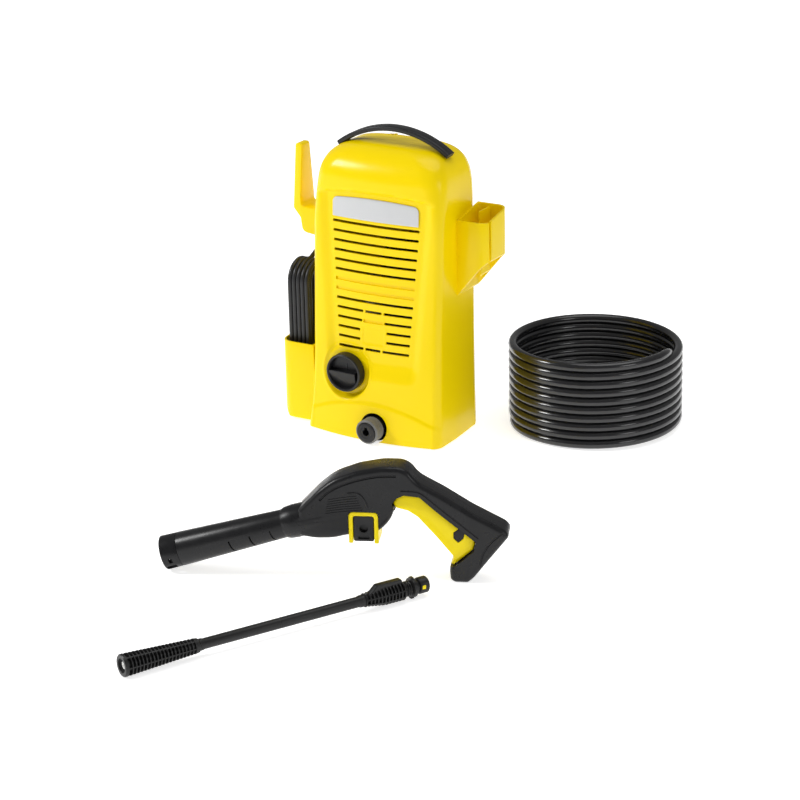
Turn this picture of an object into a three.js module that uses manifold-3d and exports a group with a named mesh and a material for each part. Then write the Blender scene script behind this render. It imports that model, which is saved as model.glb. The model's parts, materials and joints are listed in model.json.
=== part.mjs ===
// Upright cold-water pressure washer with its trigger gun, spray lance and high-pressure hose.
// Millimetres, +Z up, the machine's front faces -Y, the origin is the middle of its footprint.
import * as THREE from 'three';
import { mergeVertices } from 'three/addons/utils/BufferGeometryUtils.js';
import Module from 'manifold-3d';

const wasm = await Module();
wasm.setup();

// ---------------------------------------------------------------- driving dimensions
const GAP = 0.3;               // clearance between touching pieces
const WALL = 3;                // cover wall

const BODY = { half: 104, front: -79, rear: 66, top: 415, sill: 2, shoulder: 312 };
const FLARE = { level: 132, lean: 0.0714, foot: 6, side: 5 };
const CORNER = { front: 22, rear: 42, crown: 46 };
const FRONT_RISE = 8;          // the front face is bowed forward by this much at its middle
const SPLIT_Y = 32;            // front and rear cover meet in this plane

const GRILLE = { top: 308, pitch: 13.7, slot: 4, wide: 70, narrow: 57, rows: 14 };
const BADGE = { low: 315, high: 342, half: 69, crown: 4, proud: 1.6 };
const KNOB = { x: -41, z: 94, r: 28, face: -88.5, back: -73.5, dish: 38 };
const OUTLET = { x: 9, z: 21, r: 14.6, sleeve: 18.5, tip: -113, hole: 21.5 };
const INLET = { x: 12, z: 38, r: 13, rear: 71 };
const GLAND = { y: 18, z: 246, tip: -118 };
const SCREWS = [[-56, 70], [56, 70]];

const HANDLE = { top: 440, half: 86, foot: 413, thick: 8, wide: 18, x: 3, y: -4 };
const POCKET = { x0: -161, y0: -66, y1: 12, z0: 4, z1: 119, wall: 2.5, round: 22 };
const HOLSTER = { x1: 152, y0: -14, y1: 50, low: 208, high: 331, wall: 3, round: 16 };
const HOOK = { y0: -12, y1: 25, arm: 305, top: 398 };

const PUMP = { x: 12, y: -22, front: -54, rear: 8, top: 70 };
const GEARS = { module: 1.5, motor: 13, pump: 41, z0: 104, z1: 112 };
const MOTOR = { x: PUMP.x, y: PUMP.y + GEARS.module * (GEARS.motor + GEARS.pump) / 2 };
const FRAME = { r: 43, z0: 120.5, z1: 252 };
const CORE = { z0: 142, z1: 206, r: 26, stator: 40.5 };

const CORD = { r: 3.5, x: -135.5, thick: 36, band: 15, y: -22.5, low: 13, high: 234, outer: 31.2 };
// The lead runs from the gland onto the top of the hank; the tail leaves its rear, and the plug hangs on it.
const LEAD = [[-118.3, 18, 246], [-122, 18, 246], [-128, 16, 245.2], [-132.5, 10.5, 243],
  [-134.8, 2.5, 239.6], [-135.5, -7, 234.8]];
const TAIL = [[-135.7, 13.2, 168.7], [-136, 18.6, 171.5], [-136.4, 24.6, 172.4], [-137.2, 34.3, 169.8],
  [-137.8, 41.4, 162.7], [-138, 44, 153], [-138, 44, 140]];
const PLUG = { x: -138, y: 44, foot: 78, shoulder: 92, neck: 118, top: 139.5, r: 18, pin: 2.4, spread: 9.5 };
const HOSE = { x: 248.5, y: 129, r: 6.5, ring: 118, height: 130 };

const GUN = { x: 7.8, y: -588.8, turn: 23.4 * Math.PI / 180, half: 20, barrel: 16.15 * Math.PI / 180 };
const TRIGGER = { pivot: [297, 106], swing: 9 * Math.PI / 180, half: 14.5 };
const LANCE = { x: 136.8, y: -871.4, turn: 61.7 * Math.PI / 180, axis: 14 };

// ---------------------------------------------------------------- materials
const looks = {
  yellow: [0xffdd00, 0.32, 0], black: [0x1b1b1c, 0.5, 0], grey: [0x6d6e70, 0.5, 0],
  silver: [0xc9cbcf, 0.3, 0.6], steel: [0x9a9da2, 0.35, 1], copper: [0xb06a35, 0.4, 1],
  aluminium: [0xb9bcc0, 0.45, 1], brass: [0xc8a24a, 0.35, 1], rubber: [0x151515, 0.75, 0],
  white: [0xd8d8d4, 0.5, 0], carbon: [0x2b2b2d, 0.8, 0],
};

function material(look) {
  const [color, roughness, metalness] = looks[look];
  return new THREE.MeshStandardMaterial({ color, roughness, metalness });
}

// ---------------------------------------------------------------- solids
function solid(geometry) {
  const bare = geometry.index ? geometry.toNonIndexed() : geometry.clone();
  bare.deleteAttribute('normal');
  bare.deleteAttribute('uv');
  const joined = mergeVertices(bare, 1e-4);
  const { Manifold, Mesh } = wasm;
  return new Manifold(new Mesh({
    numProp: 3,
    vertProperties: new Float32Array(joined.attributes.position.array),
    triVerts: new Uint32Array(joined.index.array),
  }));
}

function geometryOf(body) {
  const { vertProperties, triVerts } = body.getMesh();
  const geometry = new THREE.BufferGeometry();
  geometry.setAttribute('position', new THREE.BufferAttribute(vertProperties, 3));
  geometry.setIndex(new THREE.BufferAttribute(triVerts, 1));
  geometry.computeVertexNormals();
  return geometry;
}

function addPart(group, name, body, look) {
  const mesh = new THREE.Mesh(geometryOf(body), material(look));
  mesh.name = name;
  group.add(mesh);
}

// ---------------------------------------------------------------- basic shapes
function block(x0, x1, y0, y1, z0, z1) {
  const geometry = new THREE.BoxGeometry(x1 - x0, y1 - y0, z1 - z0);
  return solid(geometry.translate((x0 + x1) / 2, (y0 + y1) / 2, (z0 + z1) / 2));
}

function rod(axis, radius, from, to, a, b, sides = 16, farRadius = radius) {
  const geometry = new THREE.CylinderGeometry(farRadius, radius, to - from, sides);
  const middle = (from + to) / 2;
  if (axis === 'x') return solid(geometry.rotateZ(-Math.PI / 2).translate(middle, a, b));
  if (axis === 'y') return solid(geometry.translate(a, middle, b));
  return solid(geometry.rotateX(Math.PI / 2).translate(a, b, middle));
}

function tubeAlong(axis, outer, inner, from, to, a, b, sides = 16) {
  return rod(axis, outer, from, to, a, b, sides).subtract(rod(axis, inner, from - 1, to + 1, a, b, sides));
}

function polygon(points) {
  return new THREE.Shape(points.map(([x, y]) => new THREE.Vector2(x, y)));
}

function extrudeUp(shape, z0, z1, options = {}) {
  const settings = { depth: z1 - z0, bevelEnabled: false, curveSegments: 5, ...options };
  return new THREE.ExtrudeGeometry(shape, settings).translate(0, 0, z0);
}

// The shape's x and y become X and Z, and its depth runs from y0 to y1.
function extrudeBack(shape, y0, y1, options = {}) {
  const settings = { depth: y1 - y0, bevelEnabled: false, curveSegments: 5, ...options };
  return new THREE.ExtrudeGeometry(shape, settings).rotateX(Math.PI / 2).translate(0, y1, 0);
}

// The shape's x and y become Y and Z, and its depth runs from x0 to x1.
function extrudeAcross(shape, x0, x1, options = {}) {
  const settings = { depth: x1 - x0, bevelEnabled: false, curveSegments: 5, ...options };
  const turn = new THREE.Matrix4().makeBasis(
    new THREE.Vector3(0, 1, 0), new THREE.Vector3(0, 0, 1), new THREE.Vector3(1, 0, 0));
  return new THREE.ExtrudeGeometry(shape, settings).applyMatrix4(turn).translate(x0, 0, 0);
}

function turned(profile, sides = 24) {
  const points = profile.map(([r, h]) => new THREE.Vector2(r, h));
  return new THREE.LatheGeometry(points, sides);
}

function roundedBox(x0, x1, y0, y1, radii) {
  const [r00, r10, r11, r01] = radii;
  const shape = new THREE.Shape();
  shape.moveTo(x0 + r00, y0);
  shape.lineTo(x1 - r10, y0);
  if (r10) shape.absarc(x1 - r10, y0 + r10, r10, -Math.PI / 2, 0);
  shape.lineTo(x1, y1 - r11);
  if (r11) shape.absarc(x1 - r11, y1 - r11, r11, 0, Math.PI / 2);
  shape.lineTo(x0 + r01, y1);
  if (r01) shape.absarc(x0 + r01, y1 - r01, r01, Math.PI / 2, Math.PI);
  shape.lineTo(x0, y0 + r00);
  if (r00) shape.absarc(x0 + r00, y0 + r00, r00, Math.PI, 1.5 * Math.PI);
  return shape;
}

// ---------------------------------------------------------------- machine casing
// Front view: straight sides under a crown whose shoulders are a superellipse.
function casingFront(grow) {
  const half = BODY.half + grow;
  const rise = BODY.top - BODY.shoulder + grow;
  const foot = half + FLARE.side + 5;
  const points = [[-half, FLARE.level], [-foot, -20], [foot, -20], [half, FLARE.level]];
  const steps = 16;
  const power = 2 / 4.4;
  for (let i = 0; i <= steps; i += 1) {
    const angle = Math.PI * i / steps;
    const across = Math.sign(Math.cos(angle)) * Math.abs(Math.cos(angle)) ** power;
    points.push([half * across, BODY.shoulder + rise * Math.sin(angle) ** power]);
  }
  return extrudeBack(polygon(points), -130, 110);
}

// Plan view: a bowed front, and round corners. The front leans back towards the top.
function casingPlan(grow) {
  const half = BODY.half + grow;
  const front = BODY.front - grow;
  const rear = BODY.rear + grow;
  const [rf, rr] = [CORNER.front + grow, CORNER.rear + grow];
  const shape = new THREE.Shape();
  shape.moveTo(half, rear - rr);
  shape.absarc(half - rr, rear - rr, rr, 0, Math.PI / 2);
  shape.lineTo(-half + rr, rear);
  shape.absarc(-half + rr, rear - rr, rr, Math.PI / 2, Math.PI);
  shape.lineTo(-half, front + FRONT_RISE + rf);
  shape.absarc(-half + rf, front + FRONT_RISE + rf, rf, Math.PI, 1.4 * Math.PI);
  shape.quadraticCurveTo(0, front - FRONT_RISE, half - rf * 0.69, front + FRONT_RISE + rf * 0.049);
  shape.absarc(half - rf, front + FRONT_RISE + rf, rf, 1.6 * Math.PI, 2 * Math.PI);
  const lower = extrudeUp(shape, -20, FLARE.level, { steps: 3 });
  const upper = extrudeUp(shape, FLARE.level, 440);
  return solid(leaned(lower)).add(solid(leaned(upper)));
}

// Leans the front back with height, and flares the foot out at the front and the sides.
function leaned(geometry) {
  const position = geometry.attributes.position;
  for (let i = 0; i < position.count; i += 1) {
    const [x, y, z] = [position.getX(i), position.getY(i), position.getZ(i)];
    const forward = Math.max(0, -y / 80);
    const foot = Math.max(0, 1 - Math.max(z, 0) / FLARE.level) ** 2;
    const sideways = foot * FLARE.side * Math.max(0.2, Math.min(1, 0.6 - y / 60));
    position.setX(i, x + sideways * x / BODY.half);
    position.setY(i, y + forward * (FLARE.lean * (Math.max(z, 0) - FLARE.level) - FLARE.foot * foot));
  }
  return geometry;
}

// Side view: only rounds the crown over at the front and the rear.
function casingSide(grow) {
  const top = BODY.top + grow;
  const r = CORNER.crown;
  const front = BODY.front + FLARE.lean * (top - FLARE.level) - grow;
  const rear = BODY.rear + grow;
  const shape = new THREE.Shape();
  shape.moveTo(-130, -20);
  shape.lineTo(110, -20);
  shape.lineTo(110, top - r);
  shape.lineTo(rear, top - r);
  shape.absarc(rear - r, top - r, r, 0, Math.PI / 2);
  shape.lineTo(front + r, top);
  shape.absarc(front + r, top - r, r, Math.PI / 2, Math.PI);
  shape.lineTo(-130, top - r);
  return extrudeAcross(shape, -130, 130);
}

function casing(grow) {
  return solid(casingFront(grow)).intersect(casingPlan(grow)).intersect(solid(casingSide(grow)));
}

function grilleSlots() {
  let cut = null;
  const slot = (x0, x1, z) => {
    const bar = block(x0, x1, -120, -30, z - GRILLE.slot / 2, z + GRILLE.slot / 2);
    cut = cut ? cut.add(bar) : bar;
  };
  const segments = {
    0: [[-1, 1]], 1: [[-1, 1]], 2: [[-1, 1]], 3: [[-1, 1]], 4: [[-1, 1]], 5: [[-1, 1]], 8: [[-1, 1]],
    9: [[-1, -0.27], [-0.22, 0.22], [0.27, 1]], 10: [[-1, -0.3], [0.3, 1]],
    11: [[-1, -0.36], [0.36, 1]], 12: [[-1, -0.36], [0.36, 1]],
    13: [[-1, -0.27], [-0.22, 0.22], [0.27, 1]],
  };
  for (const [row, spans] of Object.entries(segments)) {
    const z = GRILLE.top - GRILLE.pitch * row;
    const half = GRILLE.wide + (GRILLE.narrow - GRILLE.wide) * row / (GRILLE.rows - 1);
    spans.forEach(([a, b]) => slot(a * half, b * half, z));
  }
  return cut;
}

function addCasing(group) {
  const outer = casing(0);
  const shell = outer.subtract(casing(-WALL)).subtract(block(-120, 120, -130, 90, -30, BODY.sill));
  const knobBoss = rod('y', KNOB.dish + 3, -82, -69, KNOB.x, KNOB.z).intersect(outer);
  const frontHalf = block(-200, 200, -200, SPLIT_Y - GAP / 2, -50, 500);
  const rearHalf = block(-200, 200, SPLIT_Y + GAP / 2, 200, -50, 500);
  const front = shell.add(knobBoss).intersect(frontHalf)
    .subtract(rod('y', KNOB.dish, -120, KNOB.back + GAP, KNOB.x, KNOB.z))
    .subtract(rod('y', 7.5, -120, -60, KNOB.x, KNOB.z))
    .subtract(rod('y', OUTLET.hole, -120, -60, OUTLET.x, OUTLET.z))
    .subtract(rod('x', 7.4, -120, -80, GLAND.y, GLAND.z, 12))
    .subtract(grilleSlots());
  addPart(group, 'front_cover', front, 'yellow');

  let rear = shell.intersect(rearHalf).subtract(rod('y', INLET.r + 2, 50, 90, INLET.x, INLET.z));
  SCREWS.forEach(([x, z]) => {
    rear = rear.subtract(rod('y', 4.6, 55, 90, x, z, 10));
  });
  addPart(group, 'rear_cover', rear, 'yellow');

  SCREWS.forEach(([x, z], i) => {
    const head = rod('y', 4.2, 66, BODY.rear - 0.5, x, z, 10);
    addPart(group, `cover_screw_${i + 1}`, head.add(rod('y', 2, 44, 66.5, x, z, 12)), 'steel');
  });

  const tray = casingPlan(-WALL - 0.6).intersect(block(-120, 120, -120, 90, 0, 8))
    .subtract(block(OUTLET.x - 24, OUTLET.x + 24, -120, -46, -5, 10));
  addPart(group, 'base_tray', tray, 'black');
}

function addBadge(group) {
  const shape = new THREE.Shape();
  shape.moveTo(-BADGE.half, BADGE.low);
  shape.lineTo(BADGE.half, BADGE.low);
  shape.lineTo(BADGE.half, BADGE.high - 8);
  shape.quadraticCurveTo(BADGE.half, BADGE.high, BADGE.half - 8, BADGE.high);
  shape.quadraticCurveTo(0, BADGE.high + 2 * BADGE.crown, 8 - BADGE.half, BADGE.high);
  shape.quadraticCurveTo(-BADGE.half, BADGE.high, -BADGE.half, BADGE.high - 8);
  const cut = solid(extrudeBack(shape, -110, -40));
  addPart(group, 'badge_plate', casing(BADGE.proud).subtract(casing(GAP)).intersect(cut), 'silver');
}

function addHandle(group) {
  const rise = HANDLE.top - HANDLE.foot;
  const radius = (HANDLE.half ** 2 + rise ** 2) / (2 * rise);
  const swing = Math.asin(HANDLE.half / radius);
  const arch = new THREE.Shape();
  arch.absarc(HANDLE.x, HANDLE.top - radius, radius, Math.PI / 2 - swing, Math.PI / 2 + swing);
  const under = radius - HANDLE.thick;
  arch.absarc(HANDLE.x, HANDLE.top - radius, under, Math.PI / 2 + swing, Math.PI / 2 - swing, true);
  const [y0, y1] = [HANDLE.y - HANDLE.wide / 2, HANDLE.y + HANDLE.wide / 2];
  const band = solid(extrudeBack(arch, y0, y1, { curveSegments: 14 }));
  addPart(group, 'carry_handle', band.subtract(casing(GAP)), 'black');
}

function addKnob(group) {
  const { x, z, r, face, back } = KNOB;
  let knob = rod('y', r, face, back, x, z, 24).add(rod('y', 6, back - 1, -65.5, x, z, 12));
  knob = knob.subtract(block(x - 24, x + 24, face - 1, face + 7, z + 4, z + 20));
  knob = knob.subtract(block(x - 24, x + 24, face - 1, face + 4, z - 20, z - 9));
  addPart(group, 'switch_knob', knob, 'black');
  addPart(group, 'power_switch', block(x - 15, x + 15, -65.2, -44, z - 14, z + 14), 'black');
}

function addOutlet(group) {
  const { x, z, r, sleeve, tip } = OUTLET;
  let coupling = rod('y', r, tip, -62, x, z, 16);
  coupling = coupling.subtract(block(x - 5.5, x + 5.5, tip - 1, tip + 22, z - 5.5, z + 5.5));
  addPart(group, 'outlet_coupling', coupling, 'black');
  addPart(group, 'outlet_release', tubeAlong('y', sleeve, r + GAP, tip + 2, tip + 20, x, z), 'grey');
  addPart(group, 'outlet_pipe', rod('y', 8, -62 + GAP, PUMP.front - GAP, x, z, 10), 'aluminium');
}

function addInlet(group) {
  const { x, z, r, rear } = INLET;
  const socket = rod('y', r, 40, rear, x, z).subtract(rod('y', 10, 47, rear + 1, x, z));
  addPart(group, 'water_inlet', socket, 'black');
  const filter = rod('y', 9.5, 50, 66, x, z, 12).subtract(rod('y', 8, 53, 67, x, z, 12));
  addPart(group, 'inlet_filter', filter, 'white');
  addPart(group, 'inlet_pipe', rod('y', 7, PUMP.rear + GAP, 40 - GAP, x, z, 10), 'aluminium');
}

// ---------------------------------------------------------------- storage on the casing's sides
function addPocket(group) {
  const { x0, y0, y1, z0, z1, wall, round } = POCKET;
  const inner = -BODY.half - GAP;
  const outline = roundedBox(x0, inner, y0, y1, [round, 0, 0, 8]);
  const hollow = roundedBox(x0 + wall, inner - wall, y0 + wall, y1 - wall, [round - wall, 4, 4, 5]);
  const pocket = solid(extrudeUp(outline, z0, z1 + 12))
    .subtract(solid(extrudeUp(hollow, z0 + wall, z1 + 20)));
  const slope = polygon([[y0 - 5, z1], [y0 + 20, z1], [y1 + 5, z1 + 7], [y1 + 5, z1 + 40],
    [y0 - 5, z1 + 40]]);
  const trimmed = pocket.subtract(solid(extrudeAcross(slope, x0 - 5, inner + 5))).subtract(casing(GAP));
  addPart(group, 'cable_pocket', trimmed, 'yellow');
}

function addHolster(group) {
  const { x1, y0, y1, low, high, wall, round } = HOLSTER;
  const inner = BODY.half + GAP;
  const outline = roundedBox(inner, x1, y0, y1, [0, round, round, 0]);
  const radii = [6, round - wall, round - wall, 6];
  const hollow = roundedBox(inner + wall, x1 - wall, y0 + wall, y1 - wall, radii);
  let holster = solid(extrudeUp(outline, low, high)).subtract(solid(extrudeUp(hollow, low - 5, high + 5)));
  holster = holster.add(block(122, 124.5, 18, y1 - 1, low, high - 6));
  holster = holster.subtract(block(x1 - 14, x1 + 5, y0 + 9, y0 + 13.5, low - 5, high + 5));
  const side = polygon([[inner - 5, low - 4], [inner, low], [140, 252], [x1, 263], [x1 + 5, high + 5],
    [inner - 5, high + 5]]);
  const rim = polygon([[y0 - 5, low - 10], [y1 + 5, low - 10], [y1 + 5, high], [y0 + 8, high - 13],
    [y0 - 5, high - 13]]);
  holster = holster.intersect(solid(extrudeBack(side, y0 - 5, y1 + 5)));
  addPart(group, 'gun_holster', holster.intersect(solid(extrudeAcross(rim, inner - 5, x1 + 5))), 'yellow');
}

function addHook(group) {
  const { y0, y1, arm, top } = HOOK;
  const inner = -BODY.half - GAP;
  const side = polygon([[inner, 262], [-150, 268], [-153, 289], [-164, 302], [-157, top], [-146, top],
    [-152, arm], [inner, arm]]);
  const taper = polygon([[y1 - 18, top + 5], [y1, arm + 12], [y1 + 5, arm + 12], [y1 + 5, top + 5]]);
  const hook = solid(extrudeBack(side, y0, y1)).subtract(solid(extrudeAcross(taper, -200, -120)));
  addPart(group, 'cable_hook', hook, 'yellow');
}

// ---------------------------------------------------------------- motor and pump
// A spur gear with trapezoid teeth, a tooth or a gap centred on the +X direction.
function gear(teeth, x, y, bore, startTooth) {
  const pitch = GEARS.module * teeth / 2;
  const [tip, root] = [pitch + 0.85 * GEARS.module, pitch - 1.15 * GEARS.module];
  const step = 2 * Math.PI / teeth;
  const points = [];
  for (let i = 0; i < teeth; i += 1) {
    const middle = startTooth + i * step;
    [[root, -0.33], [tip, -0.13], [tip, 0.13], [root, 0.33]].forEach(([radius, part]) => {
      const angle = middle + part * step;
      points.push([x + radius * Math.cos(angle), y + radius * Math.sin(angle)]);
    });
  }
  const wheel = solid(extrudeUp(polygon(points), GEARS.z0, GEARS.z1));
  return wheel.subtract(rod('z', bore, GEARS.z0 - 1, GEARS.z1 + 1, x, y, 10));
}

function addPump(group) {
  const { x, y } = PUMP;
  let head = block(x - 32, x + 32, PUMP.front, PUMP.rear, 8 + GAP, PUMP.top);
  const pistons = [90, 210, 330].map((degrees) => {
    const angle = degrees * Math.PI / 180;
    return [x + 16 * Math.cos(angle), y + 16 * Math.sin(angle)];
  });
  pistons.forEach(([px, py], i) => {
    head = head.subtract(rod('z', 6.2, 32, 80, px, py, 10));
    addPart(group, `piston_${i + 1}`, rod('z', 5.9, 34, 86.5, px, py, 10), 'steel');
  });
  addPart(group, 'pump_head', head, 'aluminium');

  const plate = rod('z', 25, -4, 4, 0, 0, 18).rotate([6, 0, 0]).translate([x, y, 94]);
  addPart(group, 'swash_plate', plate.add(rod('z', 10, 94, GEARS.z0 - GAP, x, y, 12)), 'steel');
  const wheel = gear(GEARS.pump, x, y, 4, Math.PI / 2);
  addPart(group, 'pump_gear', wheel.add(rod('z', 6, GEARS.z0, 119, x, y, 12)), 'steel');

  const seat = PUMP.top + GAP;
  const outer = rod('z', 38.5, seat, 120, x, y, 20).add(rod('z', 18, seat, 120, MOTOR.x, MOTOR.y, 16));
  const room = rod('z', 35.5, 60, 116, x, y, 20).add(rod('z', 15, 60, 116, MOTOR.x, MOTOR.y, 16));
  const housing = outer.subtract(room).subtract(rod('z', 9, 60, 130, MOTOR.x, MOTOR.y, 12))
    .subtract(rod('z', 6.5, 60, 130, x, y, 12));
  addPart(group, 'gear_housing', housing, 'aluminium');
}

function addMotor(group) {
  const { x, y } = MOTOR;
  const bore = 4 + GAP;
  let frame = rod('z', FRAME.r, FRAME.z0, FRAME.z1, x, y, 20);
  frame = frame.subtract(rod('z', FRAME.r - 2, FRAME.z0 + 9, FRAME.z1 - 8, x, y, 20));
  frame = frame.subtract(rod('z', 14.3, 100, FRAME.z0 + 12, x, y, 14));
  frame = frame.subtract(rod('z', 12.3, FRAME.z1 - 12, 300, x, y, 14));
  addPart(group, 'motor_frame', frame, 'black');
  const lower = tubeAlong('z', 14, bore, FRAME.z0 + 0.5, FRAME.z0 + 8.5, x, y, 14);
  addPart(group, 'lower_bearing', lower, 'steel');
  const upper = tubeAlong('z', 12, bore, FRAME.z1 - 7.5, FRAME.z1 - 0.5, x, y, 14);
  addPart(group, 'upper_bearing', upper, 'steel');
  addPart(group, 'stator', tubeAlong('z', CORE.stator, CORE.r + 1, CORE.z0, CORE.z1, x, y, 20), 'steel');
  addPart(group, 'rotor_core', tubeAlong('z', CORE.r, bore, CORE.z0, CORE.z1, x, y, 18), 'copper');
  addPart(group, 'commutator', tubeAlong('z', 13, bore, 220, 238, x, y, 12), 'copper');
  addPart(group, 'motor_shaft', rod('z', 4, 102, 280, x, y, 10), 'steel');
  const startTooth = -Math.PI / 2 + Math.PI / GEARS.motor;
  addPart(group, 'pinion', gear(GEARS.motor, x, y, bore, startTooth), 'steel');
  addPart(group, 'brush_left', block(x - 26, x - 13.4, y - 4, y + 4, 224, 234), 'carbon');
  addPart(group, 'brush_right', block(x + 13.4, x + 26, y - 4, y + 4, 224, 234), 'carbon');

  let fan = rod('z', 37, 258, 261, x, y, 18).add(rod('z', 10, 258, 276, x, y, 12));
  for (let i = 0; i < 9; i += 1) {
    const blade = block(8, 36, -1, 1, 260, 275).rotate([0, 0, 40 * i]).translate([x, y, 0]);
    fan = fan.add(blade);
  }
  addPart(group, 'cooling_fan', fan.subtract(rod('z', bore, 250, 290, x, y, 10)), 'black');
  addPart(group, 'capacitor', rod('z', 13, 150, 205, -56, 20, 12), 'white');
}

// ---------------------------------------------------------------- power cord
function addPowerCord(group) {
  const { y, z, tip } = GLAND;
  const sleeve = rod('x', 4.6, tip, -BODY.half - GAP, y, z, 12, 6.5);
  const flange = rod('x', 8.5, -BODY.half - 3, -BODY.half - GAP, y, z, 12);
  const neck = rod('x', 7, -BODY.half - 1, -BODY.half + 8, y, z, 12);
  addPart(group, 'cord_gland', sleeve.add(flange).add(neck), 'black');

  const across = (r) => {
    const shape = new THREE.Shape();
    shape.absarc(CORD.y, CORD.high - CORD.outer, r, 0, Math.PI);
    shape.absarc(CORD.y, CORD.low + CORD.outer, r, Math.PI, 2 * Math.PI);
    return shape;
  };
  const [x0, x1] = [CORD.x - CORD.thick / 2, CORD.x + CORD.thick / 2];
  const hank = solid(extrudeAcross(across(CORD.outer), x0, x1, { curveSegments: 8 }))
    .subtract(solid(extrudeAcross(across(CORD.outer - CORD.band), x0 - 5, x1 + 5, { curveSegments: 8 })));
  addPart(group, 'cord_hank', hank, 'rubber');

  addPart(group, 'power_cord', cordTube(LEAD), 'rubber');
  addPart(group, 'cord_tail', cordTube(TAIL), 'rubber');

  let plug = rod('z', PLUG.r, PLUG.shoulder, PLUG.neck, PLUG.x, PLUG.y, 16)
    .add(rod('z', PLUG.r, PLUG.neck, PLUG.top, PLUG.x, PLUG.y, 16, 5));
  [-PLUG.spread, PLUG.spread].forEach((side) => {
    plug = plug.add(rod('z', PLUG.pin, PLUG.foot, PLUG.shoulder + 1, PLUG.x, PLUG.y + side, 10));
  });
  addPart(group, 'power_plug', plug, 'rubber');
}

function cordTube(points) {
  const path = new THREE.CatmullRomCurve3(points.map((p) => new THREE.Vector3(...p)));
  const section = new THREE.Shape();
  for (let i = 0; i < 8; i += 1) {
    const angle = i * Math.PI / 4;
    section[i ? 'lineTo' : 'moveTo'](CORD.r * Math.cos(angle), CORD.r * Math.sin(angle));
  }
  const steps = Math.ceil(path.getLength() / (5 * CORD.r));
  return solid(new THREE.ExtrudeGeometry(section, { steps, extrudePath: path, bevelEnabled: false }));
}

// ---------------------------------------------------------------- hose
function addHose(group) {
  const { x, y, r, ring, height } = HOSE;
  const profile = [[ring - r, 0], [ring + r, 0], [ring + r, height], [ring - r, height], [ring - r, 0]];
  const coil = turned(profile, 24).rotateX(Math.PI / 2).translate(x, y, 0);
  addPart(group, 'hose_coil', solid(coil), 'rubber');
  const fitting = (z, turn) => rod('x', 9, 8, 34, 0, 0, 12).add(rod('x', 6.5, -14, 9, 0, 0, 10))
    .add(rod('x', 5, 33, 50, 0, 0, 10)).rotate([0, 0, turn]).translate([x, y + ring - 31, z]);
  addPart(group, 'hose_end_machine', fitting(10, 0), 'black');
  addPart(group, 'hose_end_gun', fitting(34, 180), 'black');
}

// ---------------------------------------------------------------- trigger gun
// Its own frame: X along the floor from muzzle to butt, Z up, Y across; the near side is -Y.
const TRIGGER_ROOM = [[288.5, 96], [285.4, 103], [290.7, 110.6], [300.9, 115.6], [320.2, 113.6],
  [341.5, 94.6], [389.8, 55.3], [386.7, 42.6], [364.4, 23.2], [354, 20], [330, 40], [300, 72]];
const TRIGGER_EDGE = [[289, 96], [286, 103], [291, 110], [301, 115], [320, 113], [341, 94], [389, 55],
  [386, 43], [364, 24], [357, 22], [361, 32], [340, 58], [317, 84], [305, 92]];

function gunOutline() {
  return polygon([[168, 57], [190, 54], [212, 55], [230, 60], [262, 62], [274, 70], [284, 82], [289, 96],
    [305, 92], [317, 84], [340, 58], [361, 32], [356, 20], [357, 4], [362, 0], [379, 0], [386, 6],
    [406, 32], [431, 64], [425, 72], [383, 94], [348, 116], [317, 133], [307, 146], [297, 151],
    [273, 151], [243, 145], [212, 133], [193, 117], [168, 91]]);
}

function swept(points, pivot, swing, steps) {
  let whole = null;
  for (let i = 0; i <= steps; i += 1) {
    const angle = swing * i / steps;
    const [c, s] = [Math.cos(angle), Math.sin(angle)];
    const moved = points.map(([a, b]) => [
      pivot[0] + (a - pivot[0]) * c - (b - pivot[1]) * s,
      pivot[1] + (a - pivot[0]) * s + (b - pivot[1]) * c]);
    const slab = solid(extrudeBack(polygon(moved), -TRIGGER.half - GAP, TRIGGER.half + GAP));
    whole = whole ? whole.add(slab) : slab;
  }
  return whole;
}

// Moves an outline's points away from its middle, so that a piece keeps clear of its pocket.
function grown(points, by) {
  const cx = points.reduce((sum, p) => sum + p[0], 0) / points.length;
  const cz = points.reduce((sum, p) => sum + p[1], 0) / points.length;
  return points.map(([a, b]) => {
    const reach = Math.hypot(a - cx, b - cz);
    return [a + by * (a - cx) / reach, b + by * (b - cz) / reach];
  });
}

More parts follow.
